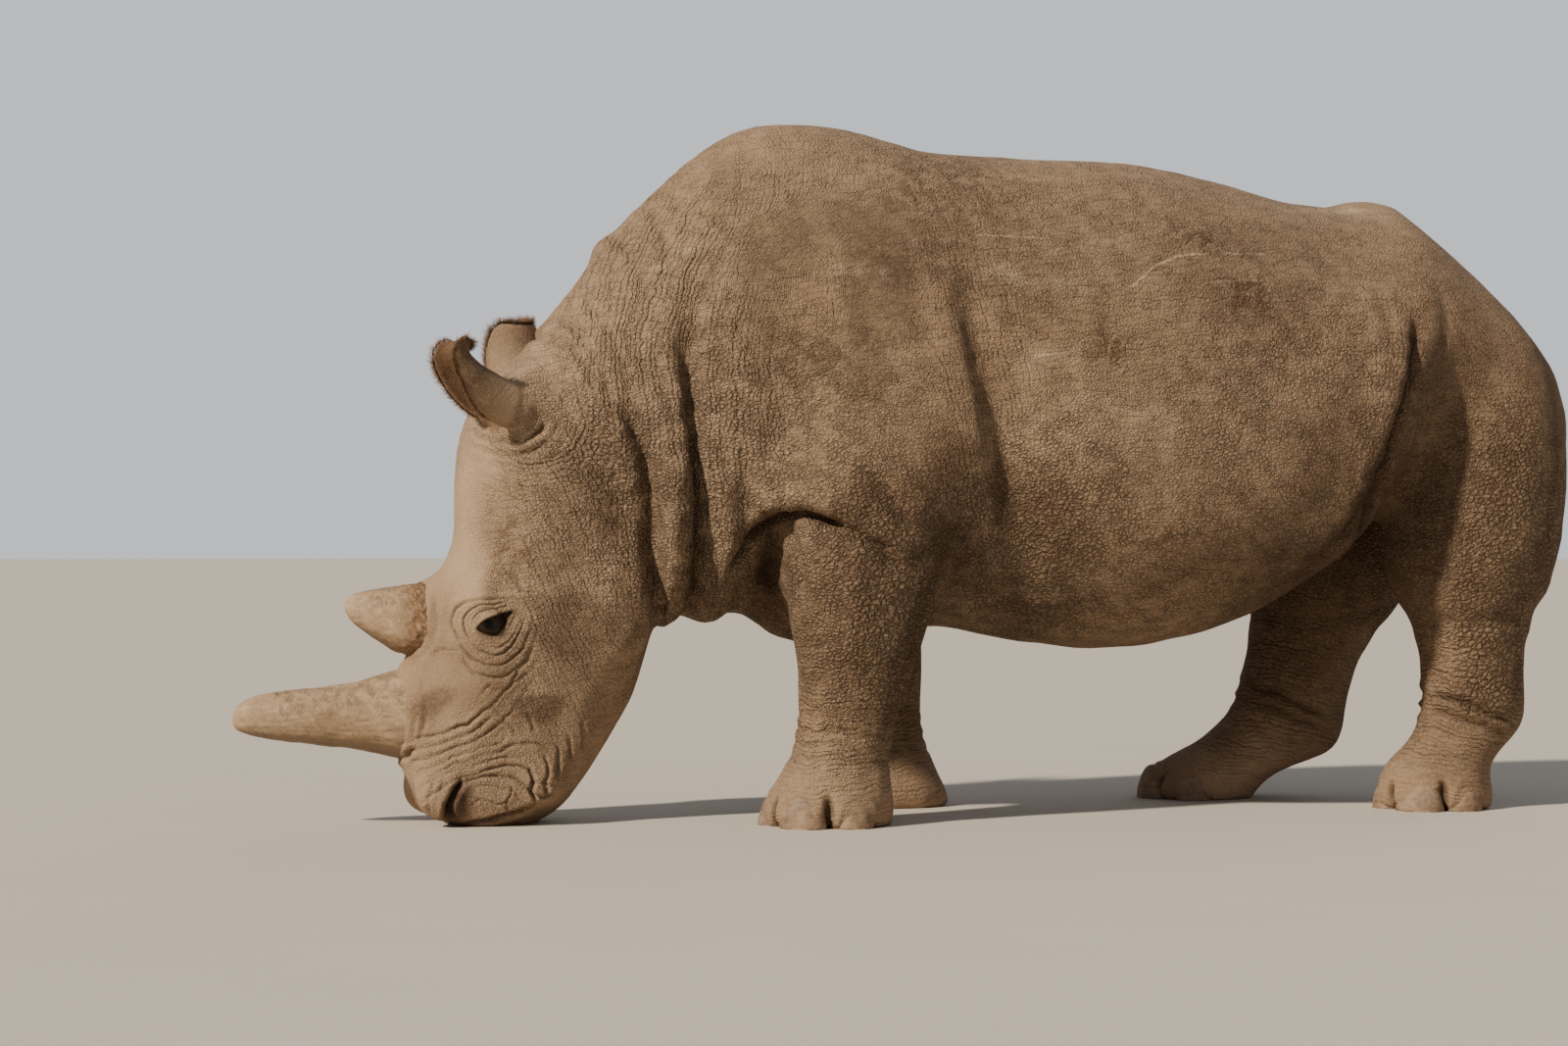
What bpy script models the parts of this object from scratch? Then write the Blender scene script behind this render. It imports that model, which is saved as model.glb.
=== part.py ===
"""White rhinoceros, life size, standing with its head lowered to graze.

A still museum model. Metres, +Z up. The animal faces -X and its left side is -Y. The origin is on
the floor, under the middle of the animal. The flesh is lofted whole, joined and smoothed, and then
parted with thin cuts into its named pieces. Ears, eyes, horns and nails are solids of their own.
"""

import math
from collections import namedtuple

import bmesh
import bpy
from mathutils import Matrix, Vector

# Driving dimensions
HUMP_HEIGHT = 1.69          # top of the shoulder hump
GAP = 0.0004                # clearance between neighbouring solids
VOXEL = 0.018               # cell of the skin that joins the lofts
FLESH_TRIANGLES = 3450      # whole flesh, before it is parted
HEAD_REACH = -0.66          # flesh ahead of this is kept finer
HEAD_DETAIL = 0.006         # how much finer, from 0 to 1
SMOOTHING_PASSES = 8        # over the joined skin, before it is thinned
RING_POINTS = 44            # points round a loft
HORN_POINTS = 14            # points round a horn
STEPS_BETWEEN_RINGS = 4
LEG_BOXINESS = 2.2          # superellipse power of a leg ring
SWELLING_SEGMENTS = (24, 16)
EYE_SEGMENTS = (12, 8)
NAIL_SEGMENTS = (10, 6)
SHARP_ANGLE = 40            # degrees past which an edge is shaded sharp
SOLE_DEPTH = 0.03           # how far the feet and lips run below the floor before they are cut flat

HIDE = (0.30, 0.23, 0.16, 1.0)
HORN = (0.33, 0.25, 0.17, 1.0)
NAIL = (0.24, 0.20, 0.16, 1.0)
EYE = (0.02, 0.014, 0.01, 1.0)

# A trunk or neck ring stands between a point on the back line and one on the belly line, each
# (x, z). widest is where the ring is broadest, as a share of the way down from the back line.
# crown and keel are the superellipse powers of the upper and lower half: 2 is round, more is boxy.
BodyRing = namedtuple("BodyRing", "back belly half_width widest crown keel")
# A leg ring is level: its centre, and half its length and half its breadth.
LegRing = namedtuple("LegRing", "z x y half_length half_breadth")
# A swelling is an ellipsoid of muscle, bone or gristle, made on both sides where y isn't 0.
Swelling = namedtuple("Swelling", "centre radii pitch")
# A region is a turned box that one named piece of flesh fills.
Region = namedtuple("Region", "name centre size pitch")

TRUNK = (
    BodyRing((-0.46, 1.600), (-0.36, 0.520), 0.270, 0.52, 1.7, 2.0),
    BodyRing((-0.40, HUMP_HEIGHT - 0.020), (-0.33, 0.450), 0.330, 0.55, 1.6, 2.1),
    BodyRing((-0.33, HUMP_HEIGHT), (-0.27, 0.425), 0.365, 0.56, 1.6, 2.2),
    BodyRing((-0.17, 1.674), (-0.13, 0.430), 0.405, 0.56, 1.65, 2.2),
    BodyRing((0.02, 1.628), (0.03, 0.462), 0.430, 0.57, 1.75, 2.2),
    BodyRing((0.27, 1.614), (0.29, 0.415), 0.475, 0.59, 1.85, 2.2),
    BodyRing((0.52, 1.612), (0.52, 0.402), 0.510, 0.60, 1.9, 2.25),
    BodyRing((0.76, 1.572), (0.76, 0.450), 0.512, 0.60, 1.9, 2.25),
    BodyRing((0.95, 1.524), (0.95, 0.545), 0.498, 0.58, 1.85, 2.2),
    BodyRing((1.10, 1.512), (1.09, 0.670), 0.474, 0.56, 1.8, 2.1),
    BodyRing((1.22, 1.522), (1.22, 0.760), 0.415, 0.50, 1.75, 2.1),
    BodyRing((1.33, 1.450), (1.32, 0.790), 0.390, 0.50, 1.8, 2.1),
    BodyRing((1.44, 1.352), (1.43, 0.800), 0.345, 0.48, 1.9, 2.1),
    BodyRing((1.53, 1.240), (1.53, 0.830), 0.280, 0.48, 2.0, 2.1),
    BodyRing((1.60, 1.100), (1.60, 0.900), 0.150, 0.48, 2.0, 2.0),
)
NECK = (
    BodyRing((-0.20, 1.640), (-0.16, 0.520), 0.330, 0.55, 1.7, 2.1),
    BodyRing((-0.36, HUMP_HEIGHT - 0.004), (-0.31, 0.445), 0.345, 0.56, 1.6, 2.1),
    BodyRing((-0.46, 1.664), (-0.395, 0.488), 0.318, 0.57, 1.6, 2.1),
    BodyRing((-0.55, 1.613), (-0.470, 0.492), 0.325, 0.60, 1.6, 2.0),
    BodyRing((-0.63, 1.546), (-0.540, 0.490), 0.285, 0.58, 1.6, 2.0),
    BodyRing((-0.71, 1.468), (-0.600, 0.466), 0.292, 0.62, 1.6, 1.9),
    BodyRing((-0.782, 1.390), (-0.650, 0.500), 0.252, 0.56, 1.6, 2.0),
    BodyRing((-0.832, 1.320), (-0.690, 0.570), 0.243, 0.54, 1.7, 2.0),
    BodyRing((-0.908, 1.222), (-0.735, 0.670), 0.232, 0.52, 1.8, 2.0),
    BodyRing((-0.963, 1.145), (-0.790, 0.790), 0.200, 0.50, 2.0, 2.0),
    BodyRing((-0.985, 1.060), (-0.860, 0.910), 0.120, 0.50, 2.0, 2.0),
)
# On the head the back line runs down the forehead and nose, and the belly line down the jaw.
HEAD = (
    BodyRing((-0.955, 1.135), (-0.870, 1.110), 0.080, 0.50, 2.0, 2.0),
    BodyRing((-1.036, 1.082), (-0.760, 1.020), 0.152, 0.50, 2.1, 2.1),
    BodyRing((-1.108, 0.990), (-0.710, 0.910), 0.187, 0.52, 2.2, 2.1),
    BodyRing((-1.140, 0.880), (-0.695, 0.800), 0.196, 0.54, 2.3, 2.1),
    BodyRing((-1.147, 0.770), (-0.672, 0.690), 0.196, 0.55, 2.3, 2.1),
    BodyRing((-1.150, 0.670), (-0.660, 0.600), 0.190, 0.54, 2.3, 2.1),
    BodyRing((-1.190, 0.572), (-0.659, 0.520), 0.182, 0.52, 2.3, 2.1),
    BodyRing((-1.235, 0.475), (-0.680, 0.435), 0.170, 0.50, 2.3, 2.1),
    BodyRing((-1.268, 0.370), (-0.712, 0.345), 0.153, 0.48, 2.4, 2.1),
    BodyRing((-1.280, 0.265), (-0.750, 0.260), 0.143, 0.46, 2.6, 2.2),
    BodyRing((-1.278, 0.175), (-0.792, 0.180), 0.144, 0.44, 2.8, 2.3),
    BodyRing((-1.258, 0.105), (-0.834, 0.110), 0.150, 0.42, 3.0, 2.4),
    BodyRing((-1.218, 0.045), (-0.878, 0.050), 0.146, 0.41, 3.0, 2.4),
    BodyRing((-1.170, 0.000), (-0.930, 0.004), 0.124, 0.41, 2.8, 2.4),
    BodyRing((-1.130, -0.030), (-0.995, -0.030), 0.080, 0.45, 2.4, 2.2),
)
LEFT_FORE_LEG = (
    LegRing(-SOLE_DEPTH, -0.302, -0.270, 0.148, 0.128),
    LegRing(0.000, -0.302, -0.270, 0.155, 0.136),
    LegRing(0.035, -0.301, -0.270, 0.157, 0.138),
    LegRing(0.080, -0.295, -0.269, 0.146, 0.128),
    LegRing(0.132, -0.282, -0.267, 0.125, 0.112),
    LegRing(0.190, -0.266, -0.265, 0.113, 0.104),
    LegRing(0.281, -0.246, -0.264, 0.121, 0.108),
    LegRing(0.374, -0.230, -0.264, 0.142, 0.120),
    LegRing(0.466, -0.226, -0.266, 0.163, 0.132),
    LegRing(0.560, -0.222, -0.270, 0.184, 0.142),
    LegRing(0.660, -0.210, -0.272, 0.205, 0.150),
    LegRing(0.800, -0.180, -0.272, 0.240, 0.150),
    LegRing(0.980, -0.150, -0.262, 0.260, 0.148),
    LegRing(1.180, -0.160, -0.235, 0.240, 0.132),
    LegRing(1.370, -0.200, -0.190, 0.180, 0.110),
    LegRing(1.500, -0.240, -0.130, 0.090, 0.070),
)
LEFT_HIND_LEG = (
    LegRing(-SOLE_DEPTH, 1.292, -0.205, 0.136, 0.118),
    LegRing(0.000, 1.294, -0.205, 0.143, 0.126),
    LegRing(0.035, 1.292, -0.205, 0.145, 0.128),
    LegRing(0.075, 1.290, -0.205, 0.138, 0.120),
    LegRing(0.115, 1.304, -0.205, 0.130, 0.108),
    LegRing(0.160, 1.352, -0.206, 0.126, 0.098),
    LegRing(0.205, 1.386, -0.207, 0.136, 0.098),
    LegRing(0.260, 1.396, -0.208, 0.134, 0.104),
    LegRing(0.335, 1.391, -0.210, 0.130, 0.108),
    LegRing(0.425, 1.387, -0.214, 0.138, 0.116),
    LegRing(0.490, 1.380, -0.220, 0.165, 0.130),
    LegRing(0.560, 1.374, -0.228, 0.208, 0.148),
    LegRing(0.655, 1.378, -0.236, 0.226, 0.160),
    LegRing(0.760, 1.384, -0.240, 0.230, 0.164),
    LegRing(0.880, 1.392, -0.236, 0.228, 0.166),
    LegRing(1.020, 1.392, -0.222, 0.214, 0.164),
    LegRing(1.180, 1.360, -0.200, 0.180, 0.150),
    LegRing(1.320, 1.310, -0.160, 0.110, 0.110),
)
# The right hind leg is a stride ahead, with its hock low behind the foot.
RIGHT_HIND_LEG = (
    LegRing(-SOLE_DEPTH, 0.846, 0.262, 0.136, 0.118),
    LegRing(0.000, 0.848, 0.262, 0.145, 0.126),
    LegRing(0.035, 0.852, 0.262, 0.152, 0.128),
    LegRing(0.072, 0.900, 0.261, 0.182, 0.122),
    LegRing(0.110, 0.990, 0.259, 0.214, 0.112),
    LegRing(0.150, 1.050, 0.257, 0.192, 0.104),
    LegRing(0.200, 1.085, 0.255, 0.164, 0.100),
    LegRing(0.270, 1.108, 0.253, 0.152, 0.104),
    LegRing(0.350, 1.134, 0.252, 0.154, 0.110),
    LegRing(0.430, 1.166, 0.250, 0.172, 0.120),
    LegRing(0.510, 1.205, 0.248, 0.200, 0.136),
    LegRing(0.620, 1.262, 0.245, 0.226, 0.154),
    LegRing(0.760, 1.324, 0.243, 0.234, 0.164),
    LegRing(0.880, 1.362, 0.236, 0.232, 0.166),
    LegRing(1.020, 1.384, 0.222, 0.214, 0.164),
    LegRing(1.180, 1.360, 0.200, 0.180, 0.150),
    LegRing(1.320, 1.310, 0.160, 0.110, 0.110),
)
# The right fore leg is the left one mirrored, with its foot set back.
FORE_SETBACK = 0.300        # of the right fore foot behind the left one
FORE_SETBACK_TOP = 0.85     # height at which the setback has run out
RIGHT_FORE_Y = 0.040        # how much nearer the midline the right fore leg stands

TAIL_CORE = (               # centre (x, y, z) and radius down the tail
    ((1.520, 0.000, 1.180), 0.070),
    ((1.590, 0.004, 1.110), 0.062),
    ((1.632, 0.010, 1.010), 0.048),
    ((1.648, 0.018, 0.880), 0.038),
    ((1.650, 0.026, 0.740), 0.031),
    ((1.644, 0.034, 0.620), 0.026),
    ((1.636, 0.040, 0.560), 0.018),
)
SWELLINGS = (
    Swelling((-1.090, 0.122, 0.532), (0.064, 0.050, 0.046), -25),      # brow
    Swelling((-0.985, 0.130, 0.560), (0.110, 0.062, 0.050), -30),      # cheek bone
    Swelling((-0.800, 0.120, 0.560), (0.110, 0.080, 0.190), -8),       # jaw muscle
    Swelling((-1.232, 0.000, 0.262), (0.082, 0.124, 0.128), 0),        # gristle under the front horn
    Swelling((-1.196, 0.000, 0.484), (0.072, 0.104, 0.100), -14),      # gristle under the rear horn
    Swelling((-1.190, 0.104, 0.076), (0.076, 0.052, 0.066), 20),       # nostril wing
    Swelling((-0.985, 0.105, 0.090), (0.100, 0.052, 0.070), -30),      # corner of the mouth
    Swelling((-1.000, 0.142, 0.985), (0.075, 0.055, 0.070), 0),        # root of the ear
    Swelling((-0.772, 0.000, 1.352), (0.052, 0.075, 0.042), 50),       # crest of the nape
    Swelling((1.250, 0.250, 1.235), (0.130, 0.110, 0.090), 30),        # point of the hip
    Swelling((1.205, 0.000, 1.478), (0.120, 0.110, 0.052), 10),        # sacrum
    Swelling((1.480, 0.190, 0.930), (0.165, 0.165, 0.270), 0),         # buttock
    Swelling((-0.050, 0.330, 0.960), (0.200, 0.100, 0.300), 12),       # muscle behind the shoulder
    Swelling((-0.370, 0.250, 0.800), (0.130, 0.105, 0.200), -12),      # front of the shoulder
    Swelling((-0.300, 0.000, 0.520), (0.170, 0.150, 0.100), 20),       # brisket
)

HornRing = namedtuple("HornRing", "x z half_height half_width")
FRONT_HORN = (
    HornRing(-1.255, 0.262, 0.112, 0.104),
    HornRing(-1.290, 0.262, 0.108, 0.102),
    HornRing(-1.320, 0.261, 0.098, 0.092),
    HornRing(-1.370, 0.259, 0.084, 0.080),
    HornRing(-1.440, 0.258, 0.074, 0.070),
    HornRing(-1.520, 0.259, 0.065, 0.060),
    HornRing(-1.590, 0.262, 0.056, 0.050),
    HornRing(-1.635, 0.262, 0.046, 0.038),
    HornRing(-1.661, 0.256, 0.030, 0.022),
    HornRing(-1.670, 0.252, 0.012, 0.009),
)
REAR_HORN = (
    HornRing(-1.195, 0.486, 0.088, 0.090),
    HornRing(-1.240, 0.488, 0.082, 0.086),
    HornRing(-1.275, 0.491, 0.074, 0.076),
    HornRing(-1.315, 0.497, 0.064, 0.062),
    HornRing(-1.355, 0.506, 0.051, 0.046),
    HornRing(-1.385, 0.512, 0.038, 0.032),
    HornRing(-1.402, 0.515, 0.022, 0.019),
    HornRing(-1.408, 0.516, 0.009, 0.008),
)

EYE_CENTRE = Vector((-1.086, 0.138, 0.480))
EYE_RADIUS = 0.035

# An ear's spine starts at its root, heading forward or outward, and curves up from the first pitch
# to the last, in degrees above level. Its opening faces the way it heads.
Ear = namedtuple("Ear", "name side root heading pitches length")
EARS = (
    Ear("ear_left", -1, (-1.008, 0.142, 0.962), 10, (14, 84), 0.285),
    Ear("ear_right", 1, (-0.945, 0.130, 0.985), 72, (52, 98), 0.235),
)
EAR_CURL = 1.5              # above 1 keeps most of the bend near the tip
EAR_WALL = 0.013
# Share of the length, depth and breadth of the cup, and half the angle that it wraps, in degrees.
EAR_PROFILE = (
    (0.00, 0.054, 0.048, 168),
    (0.18, 0.058, 0.056, 160),
    (0.38, 0.054, 0.066, 140),
    (0.60, 0.045, 0.073, 114),
    (0.82, 0.037, 0.068, 96),
    (1.00, 0.028, 0.046, 78),
)
EAR_COLUMNS = 9

# Nails stand round the front of each foot. Angles are from straight ahead towards the outer side.
NAIL_DEPTH = 0.046          # how deep a nail is set into its toe, from its front
NAIL_SPREAD = 64            # from the middle nail to a side nail
Nail = namedtuple("Nail", "name angle half_width height reach")
NAILS = (
    Nail("middle", 0, 0.066, 0.092, 0.018),
    Nail("outer", NAIL_SPREAD, 0.053, 0.080, 0.016),
    Nail("inner", -NAIL_SPREAD, 0.050, 0.078, 0.016),
)
Foot = namedtuple("Foot", "name side x y half_length half_breadth toes_out")
FEET = (
    Foot("fore_left", -1, -0.302, -0.270, 0.157, 0.138, 44),
    Foot("fore_right", 1, -0.302 + FORE_SETBACK, 0.230, 0.157, 0.138, 22),
    Foot("hind_left", -1, 1.292, -0.205, 0.145, 0.128, 45),
    Foot("hind_right", 1, 0.850, 0.262, 0.150, 0.128, 6),
)

FORE_CUTS = (0.150, 0.385, 0.700)   # height of the ankle, knee and elbow cuts
HIND_CUTS = (0.135, 0.470, 0.790)   # height of the ankle, hock and stifle cuts
FORE_INSIDE = 0.100                 # how near the midline an upper fore leg reaches
HIND_INSIDE = 0.050                 # the same for an upper hind leg
FOOT_INSIDE = 0.012                 # the same for feet and lower legs
OUTSIDE = 0.75                      # past the widest part of the body
BELOW_FLOOR = -0.2


def level_region(name, x_range, y_range, z_range):
    """A box that isn't turned, from its low and high sides."""
    lows, highs = zip(x_range, y_range, z_range)
    centre = tuple((low + high) / 2 for low, high in zip(lows, highs))
    return Region(name, centre, tuple(high - low for low, high in zip(lows, highs)), 0)


def leg_regions(name, side, x_range, upper_x_range, inside, heights):
    """The foot, lower leg and upper leg of one leg, from the floor up."""
    ankle, knee, top = heights
    lower = sorted((FOOT_INSIDE * side, OUTSIDE * side))
    upper = sorted((inside * side, OUTSIDE * side))
    return (
        level_region(f"{name}_foot", x_range, lower, (BELOW_FLOOR, ankle)),
        level_region(f"{name}_lower_leg", x_range, lower, (ankle, knee)),
        level_region(f"{name}_upper_leg", upper_x_range, upper, (knee, top)),
    )


# The cuts that part the flesh, in order. Each takes what is left inside its box. The right hind
# foot has a box of its own, because it stands ahead of its leg and under the belly.
REGIONS = (
    *leg_regions("fore_left", -1, (-0.60, 0.10), (-0.455, 0.055), FORE_INSIDE, FORE_CUTS),
    *leg_regions("fore_right", 1, (-0.35, 0.30), (-0.390, 0.160), FORE_INSIDE, FORE_CUTS),
    level_region("hind_right_foot", (0.55, 1.30), (FOOT_INSIDE, OUTSIDE), (BELOW_FLOOR, HIND_CUTS[0])),
    *leg_regions("hind_left", -1, (1.00, 1.90), (1.10, 1.90), HIND_INSIDE, HIND_CUTS),
    *leg_regions("hind_right", 1, (0.84, 1.90), (0.93, 1.90), HIND_INSIDE, HIND_CUTS)[1:],
    Region("tail", (1.86, 0.02, 0.80), (0.50, 0.16, 0.80), -4),
    Region("head", (-1.775, 0.0, 0.480), (1.96, 1.2, 1.9), -22.3),
    Region("neck", (-1.480, 0.0, 1.000), (2.0, 1.4, 1.9), -4.7),
)
LAST_PIECE = "trunk"


def clear_scene():
    """Removes the startup objects."""
    for obj in list(bpy.data.objects):
        bpy.data.objects.remove(obj, do_unlink=True)


def make_collection(name):
    """A new collection in the scene."""
    made = bpy.data.collections.new(name)
    bpy.context.scene.collection.children.link(made)
    return made


def make_material(name, colour, roughness):
    """A plain Principled material."""
    made = bpy.data.materials.new(name)
    made.use_nodes = True
    shader = made.node_tree.nodes["Principled BSDF"]
    shader.inputs["Base Color"].default_value = colour
    shader.inputs["Roughness"].default_value = roughness
    made.diffuse_color = colour
    return made


def object_from_bmesh(bm, name, collection, surface=None):
    """Makes a mesh object of a bmesh, with its faces pointing out."""
    bmesh.ops.recalc_face_normals(bm, faces=bm.faces)
    mesh = bpy.data.meshes.new(name)
    bm.to_mesh(mesh)
    bm.free()
    made = bpy.data.objects.new(name, mesh)
    if surface:
        mesh.materials.append(surface)
    collection.objects.link(made)
    return made


def baked(obj):
    """Replaces an object's mesh by its evaluated one, and drops its modifiers."""
    graph = bpy.context.evaluated_depsgraph_get()
    mesh = bpy.data.meshes.new_from_object(obj.evaluated_get(graph))
    obj.modifiers.clear()
    obj.data = mesh
    return obj


def curve_through(values, share, index):
    """Catmull-Rom value a share of the way from values[index] to the next one."""
    last = len(values) - 1
    before, start = values[max(index - 1, 0)], values[index]
    end, after = values[min(index + 1, last)], values[min(index + 2, last)]
    return 0.5 * (
        2 * start
        + (end - before) * share
        + (2 * before - 5 * start + 4 * end - after) * share**2
        + (3 * start - before - 3 * end + after) * share**3
    )


def refined(rows, steps=STEPS_BETWEEN_RINGS):
    """Rows of equal length, with smooth rows added between them."""
    columns = list(zip(*rows))
    made = []
    for index in range(len(rows) - 1):
        for step in range(steps):
            share = step / steps
            made.append([curve_through(column, share, index) for column in columns])
    made.append(list(rows[-1]))
    return made


def signed_power(value, power):
    """A power that keeps the sign."""
    return math.copysign(abs(value) ** power, value)


def body_section(row):
    """Points of one trunk, neck or head ring."""
    back_x, back_z, belly_x, belly_z, half_width, widest, crown, keel = row
    back, belly = Vector((back_x, 0, back_z)), Vector((belly_x, 0, belly_z))
    middle = back.lerp(belly, widest)
    points = []
    for number in range(RING_POINTS):
        turn = math.tau * number / RING_POINTS
        up, out = math.cos(turn), math.sin(turn)
        power = 2 / (crown if up >= 0 else keel)
        reach = (back if up >= 0 else belly) - middle
        point = middle + reach * abs(up) ** power
        point.y = half_width * signed_power(out, power)
        points.append(point)
    return points


def leg_section(row, boxiness=LEG_BOXINESS):
    """Points of one level leg ring."""
    z, x, y, half_length, half_breadth = row
    points = []
    for number in range(RING_POINTS):
        turn = math.tau * number / RING_POINTS
        length = half_length * signed_power(math.cos(turn), 2 / boxiness)
        breadth = half_breadth * signed_power(math.sin(turn), 2 / boxiness)
        points.append(Vector((x + length, y + breadth, z)))
    return points


def horn_section(row):
    """Points of one upright horn ring."""
    x, z, half_height, half_width = row
    points = []
    for number in range(HORN_POINTS):
        turn = math.tau * number / HORN_POINTS
        points.append(Vector((x, half_width * math.sin(turn), z + half_height * math.cos(turn))))
    return points


def loft(name, sections, collection, surface=None):
    """A closed skin over a row of rings that have the same number of points."""
    bm = bmesh.new()
    rings = [[bm.verts.new(point) for point in section] for section in sections]
    for ring, following in zip(rings, rings[1:]):
        for number in range(len(ring)):
            other = (number + 1) % len(ring)
            bm.faces.new((ring[number], ring[other], following[other], following[number]))
    bm.faces.new(rings[0])
    bm.faces.new(reversed(rings[-1]))
    return object_from_bmesh(bm, name, collection, surface)


def flat_row(ring):
    """A body ring's numbers in one row."""
    return [*ring.back, *ring.belly, ring.half_width, ring.widest, ring.crown, ring.keel]


def body_loft(name, rings, collection):
    """The trunk, the neck or the head."""
    rows = refined([flat_row(ring) for ring in rings])
    return loft(name, [body_section(row) for row in rows], collection)


def leg_loft(name, rings, collection):
    """One leg with its shoulder or haunch."""
    return loft(name, [leg_section(row) for row in refined(rings)], collection)


def right_fore_leg():
    """The left fore leg mirrored, its foot set back and the setback running out upwards."""
    rings = []
    for ring in LEFT_FORE_LEG:
        share = max(0.0, 1 - max(ring.z, 0) / FORE_SETBACK_TOP)
        inwards = RIGHT_FORE_Y * min(1.0, share * 1.5)
        rings.append(ring._replace(x=ring.x + FORE_SETBACK * share, y=-ring.y - inwards))
    return rings


def ellipsoid(name, centre, radii, pitch, collection):
    """A sphere stretched, tipped about Y and placed."""
    bm = bmesh.new()
    around, down = SWELLING_SEGMENTS
    bmesh.ops.create_uvsphere(bm, u_segments=around, v_segments=down, radius=1)
    place = Matrix.Translation(centre) @ Matrix.Rotation(math.radians(pitch), 4, "Y")
    bm.transform(place @ Matrix.Diagonal((*radii, 1)))
    return object_from_bmesh(bm, name, collection)


def swelling_objects(collection):
    """Every swelling, on both sides where it isn't on the midline."""
    for number, swelling in enumerate(SWELLINGS):
        x, y, z = swelling.centre
        for side in (-1, 1) if y else (1,):
            centre = (x, y * side, z)
            ellipsoid(f"swelling_{number}_{side}", centre, swelling.radii, swelling.pitch, collection)


def tail_core(collection):
    """The tail, round and tapering."""
    rows = refined([[*centre, radius] for centre, radius in TAIL_CORE])
    sections = [leg_section((z, x, y, radius, radius), 2.0) for x, y, z, radius in rows]
    return loft("tail_core", sections, collection)


def joined_flesh(collection):
    """All the flesh as one smooth closed skin, flat underfoot, with few triangles."""
    body_loft("trunk_core", TRUNK, collection)
    body_loft("neck_core", NECK, collection)
    body_loft("head_core", HEAD, collection)
    leg_loft("left_fore_core", LEFT_FORE_LEG, collection)
    leg_loft("right_fore_core", right_fore_leg(), collection)
    leg_loft("left_hind_core", LEFT_HIND_LEG, collection)
    leg_loft("right_hind_core", RIGHT_HIND_LEG, collection)
    tail_core(collection)
    swelling_objects(collection)
    bm = bmesh.new()
    for core in list(collection.objects):
        bm.from_mesh(core.data)
        bpy.data.objects.remove(core)
    mesh = bpy.data.meshes.new("flesh")
    bm.to_mesh(mesh)
    bm.free()
    flesh = bpy.data.objects.new("flesh", mesh)
    collection.objects.link(flesh)
    flesh.hide_render = True
    remesh = flesh.modifiers.new("join", "REMESH")
    remesh.mode = "VOXEL"
    remesh.voxel_size = VOXEL
    smooth = flesh.modifiers.new("soften", "SMOOTH")
    smooth.factor = 0.5
    smooth.iterations = SMOOTHING_PASSES
    baked(flesh)
    bm = bmesh.new()
    bm.from_mesh(flesh.data)
    bmesh.ops.triangulate(bm, faces=bm.faces)
    bm.to_mesh(flesh.data)
    bm.free()
    keep = flesh.vertex_groups.new(name="keep")
    for vert in flesh.data.vertices:
        in_head = vert.co.x < HEAD_REACH
        keep.add([vert.index], HEAD_DETAIL if in_head else 0.0, "REPLACE")
    thin = flesh.modifiers.new("thin", "DECIMATE")
    thin.ratio = FLESH_TRIANGLES / len(flesh.data.polygons)
    thin.vertex_group = keep.name
    thin.invert_vertex_group = True
    baked(flesh)
    return flesh


def box_object(region, grow, collection):
    """A region's box, grown on every side."""
    bm = bmesh.new()
    bmesh.ops.create_cube(bm, size=1)
    size = [side + 2 * grow for side in region.size]
    turn = Matrix.Rotation(math.radians(region.pitch), 4, "Y")
    bm.transform(Matrix.Translation(region.centre) @ turn @ Matrix.Diagonal((*size, 1)))
    made = object_from_bmesh(bm, f"cut_{region.name}", collection)
    made.hide_render = True
    made.display_type = "WIRE"
    return made


def cut(obj, cutter, operation):
    """Applies one exact Boolean."""
    modifier = obj.modifiers.new("cut", "BOOLEAN")
    modifier.operation = operation
    modifier.solver = "EXACT"
    modifier.object = cutter
    return baked(obj)


def drop_loose_bits(obj):
    """Keeps only the largest of the separate shells that a cut may leave."""
    bm = bmesh.new()
    bm.from_mesh(obj.data)
    unseen, shells = set(bm.verts), []
    while unseen:
        stack = [unseen.pop()]
        shell = set(stack)
        while stack:
            for edge in stack.pop().link_edges:
                for vert in edge.verts:
                    if vert in unseen:
                        unseen.discard(vert)
                        shell.add(vert)
                        stack.append(vert)
        shells.append(shell)
    shells.sort(key=len, reverse=True)
    for shell in shells[1:]:
        bmesh.ops.delete(bm, geom=list(shell), context="VERTS")
    bm.to_mesh(obj.data)
    bm.free()


def grown_copy(obj, collection, by=GAP):
    """A copy with its skin moved out, as a cutter that leaves clearance."""
    made = bpy.data.objects.new(f"grown_{obj.name}", obj.data.copy())
    collection.objects.link(made)
    push = made.modifiers.new("grow", "DISPLACE")
    push.strength = by
    push.mid_level = 0
    made.hide_render = True
    made.display_type = "WIRE"
    return baked(made)


def make_horn(name, rings, collection, surface):
    """A horn lofted from its rings, base first."""
    return loft(name, [horn_section(row) for row in refined(rings, 1)], collection, surface)


def make_eye(name, side, collection, surface):
    """An eyeball."""
    bm = bmesh.new()
    around, down = EYE_SEGMENTS
    bmesh.ops.create_uvsphere(bm, u_segments=around, v_segments=down, radius=EYE_RADIUS)
    centre = Vector((EYE_CENTRE.x, EYE_CENTRE.y * side, EYE_CENTRE.z))
    bmesh.ops.translate(bm, verts=bm.verts, vec=centre)
    return object_from_bmesh(bm, name, collection, surface)


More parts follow.
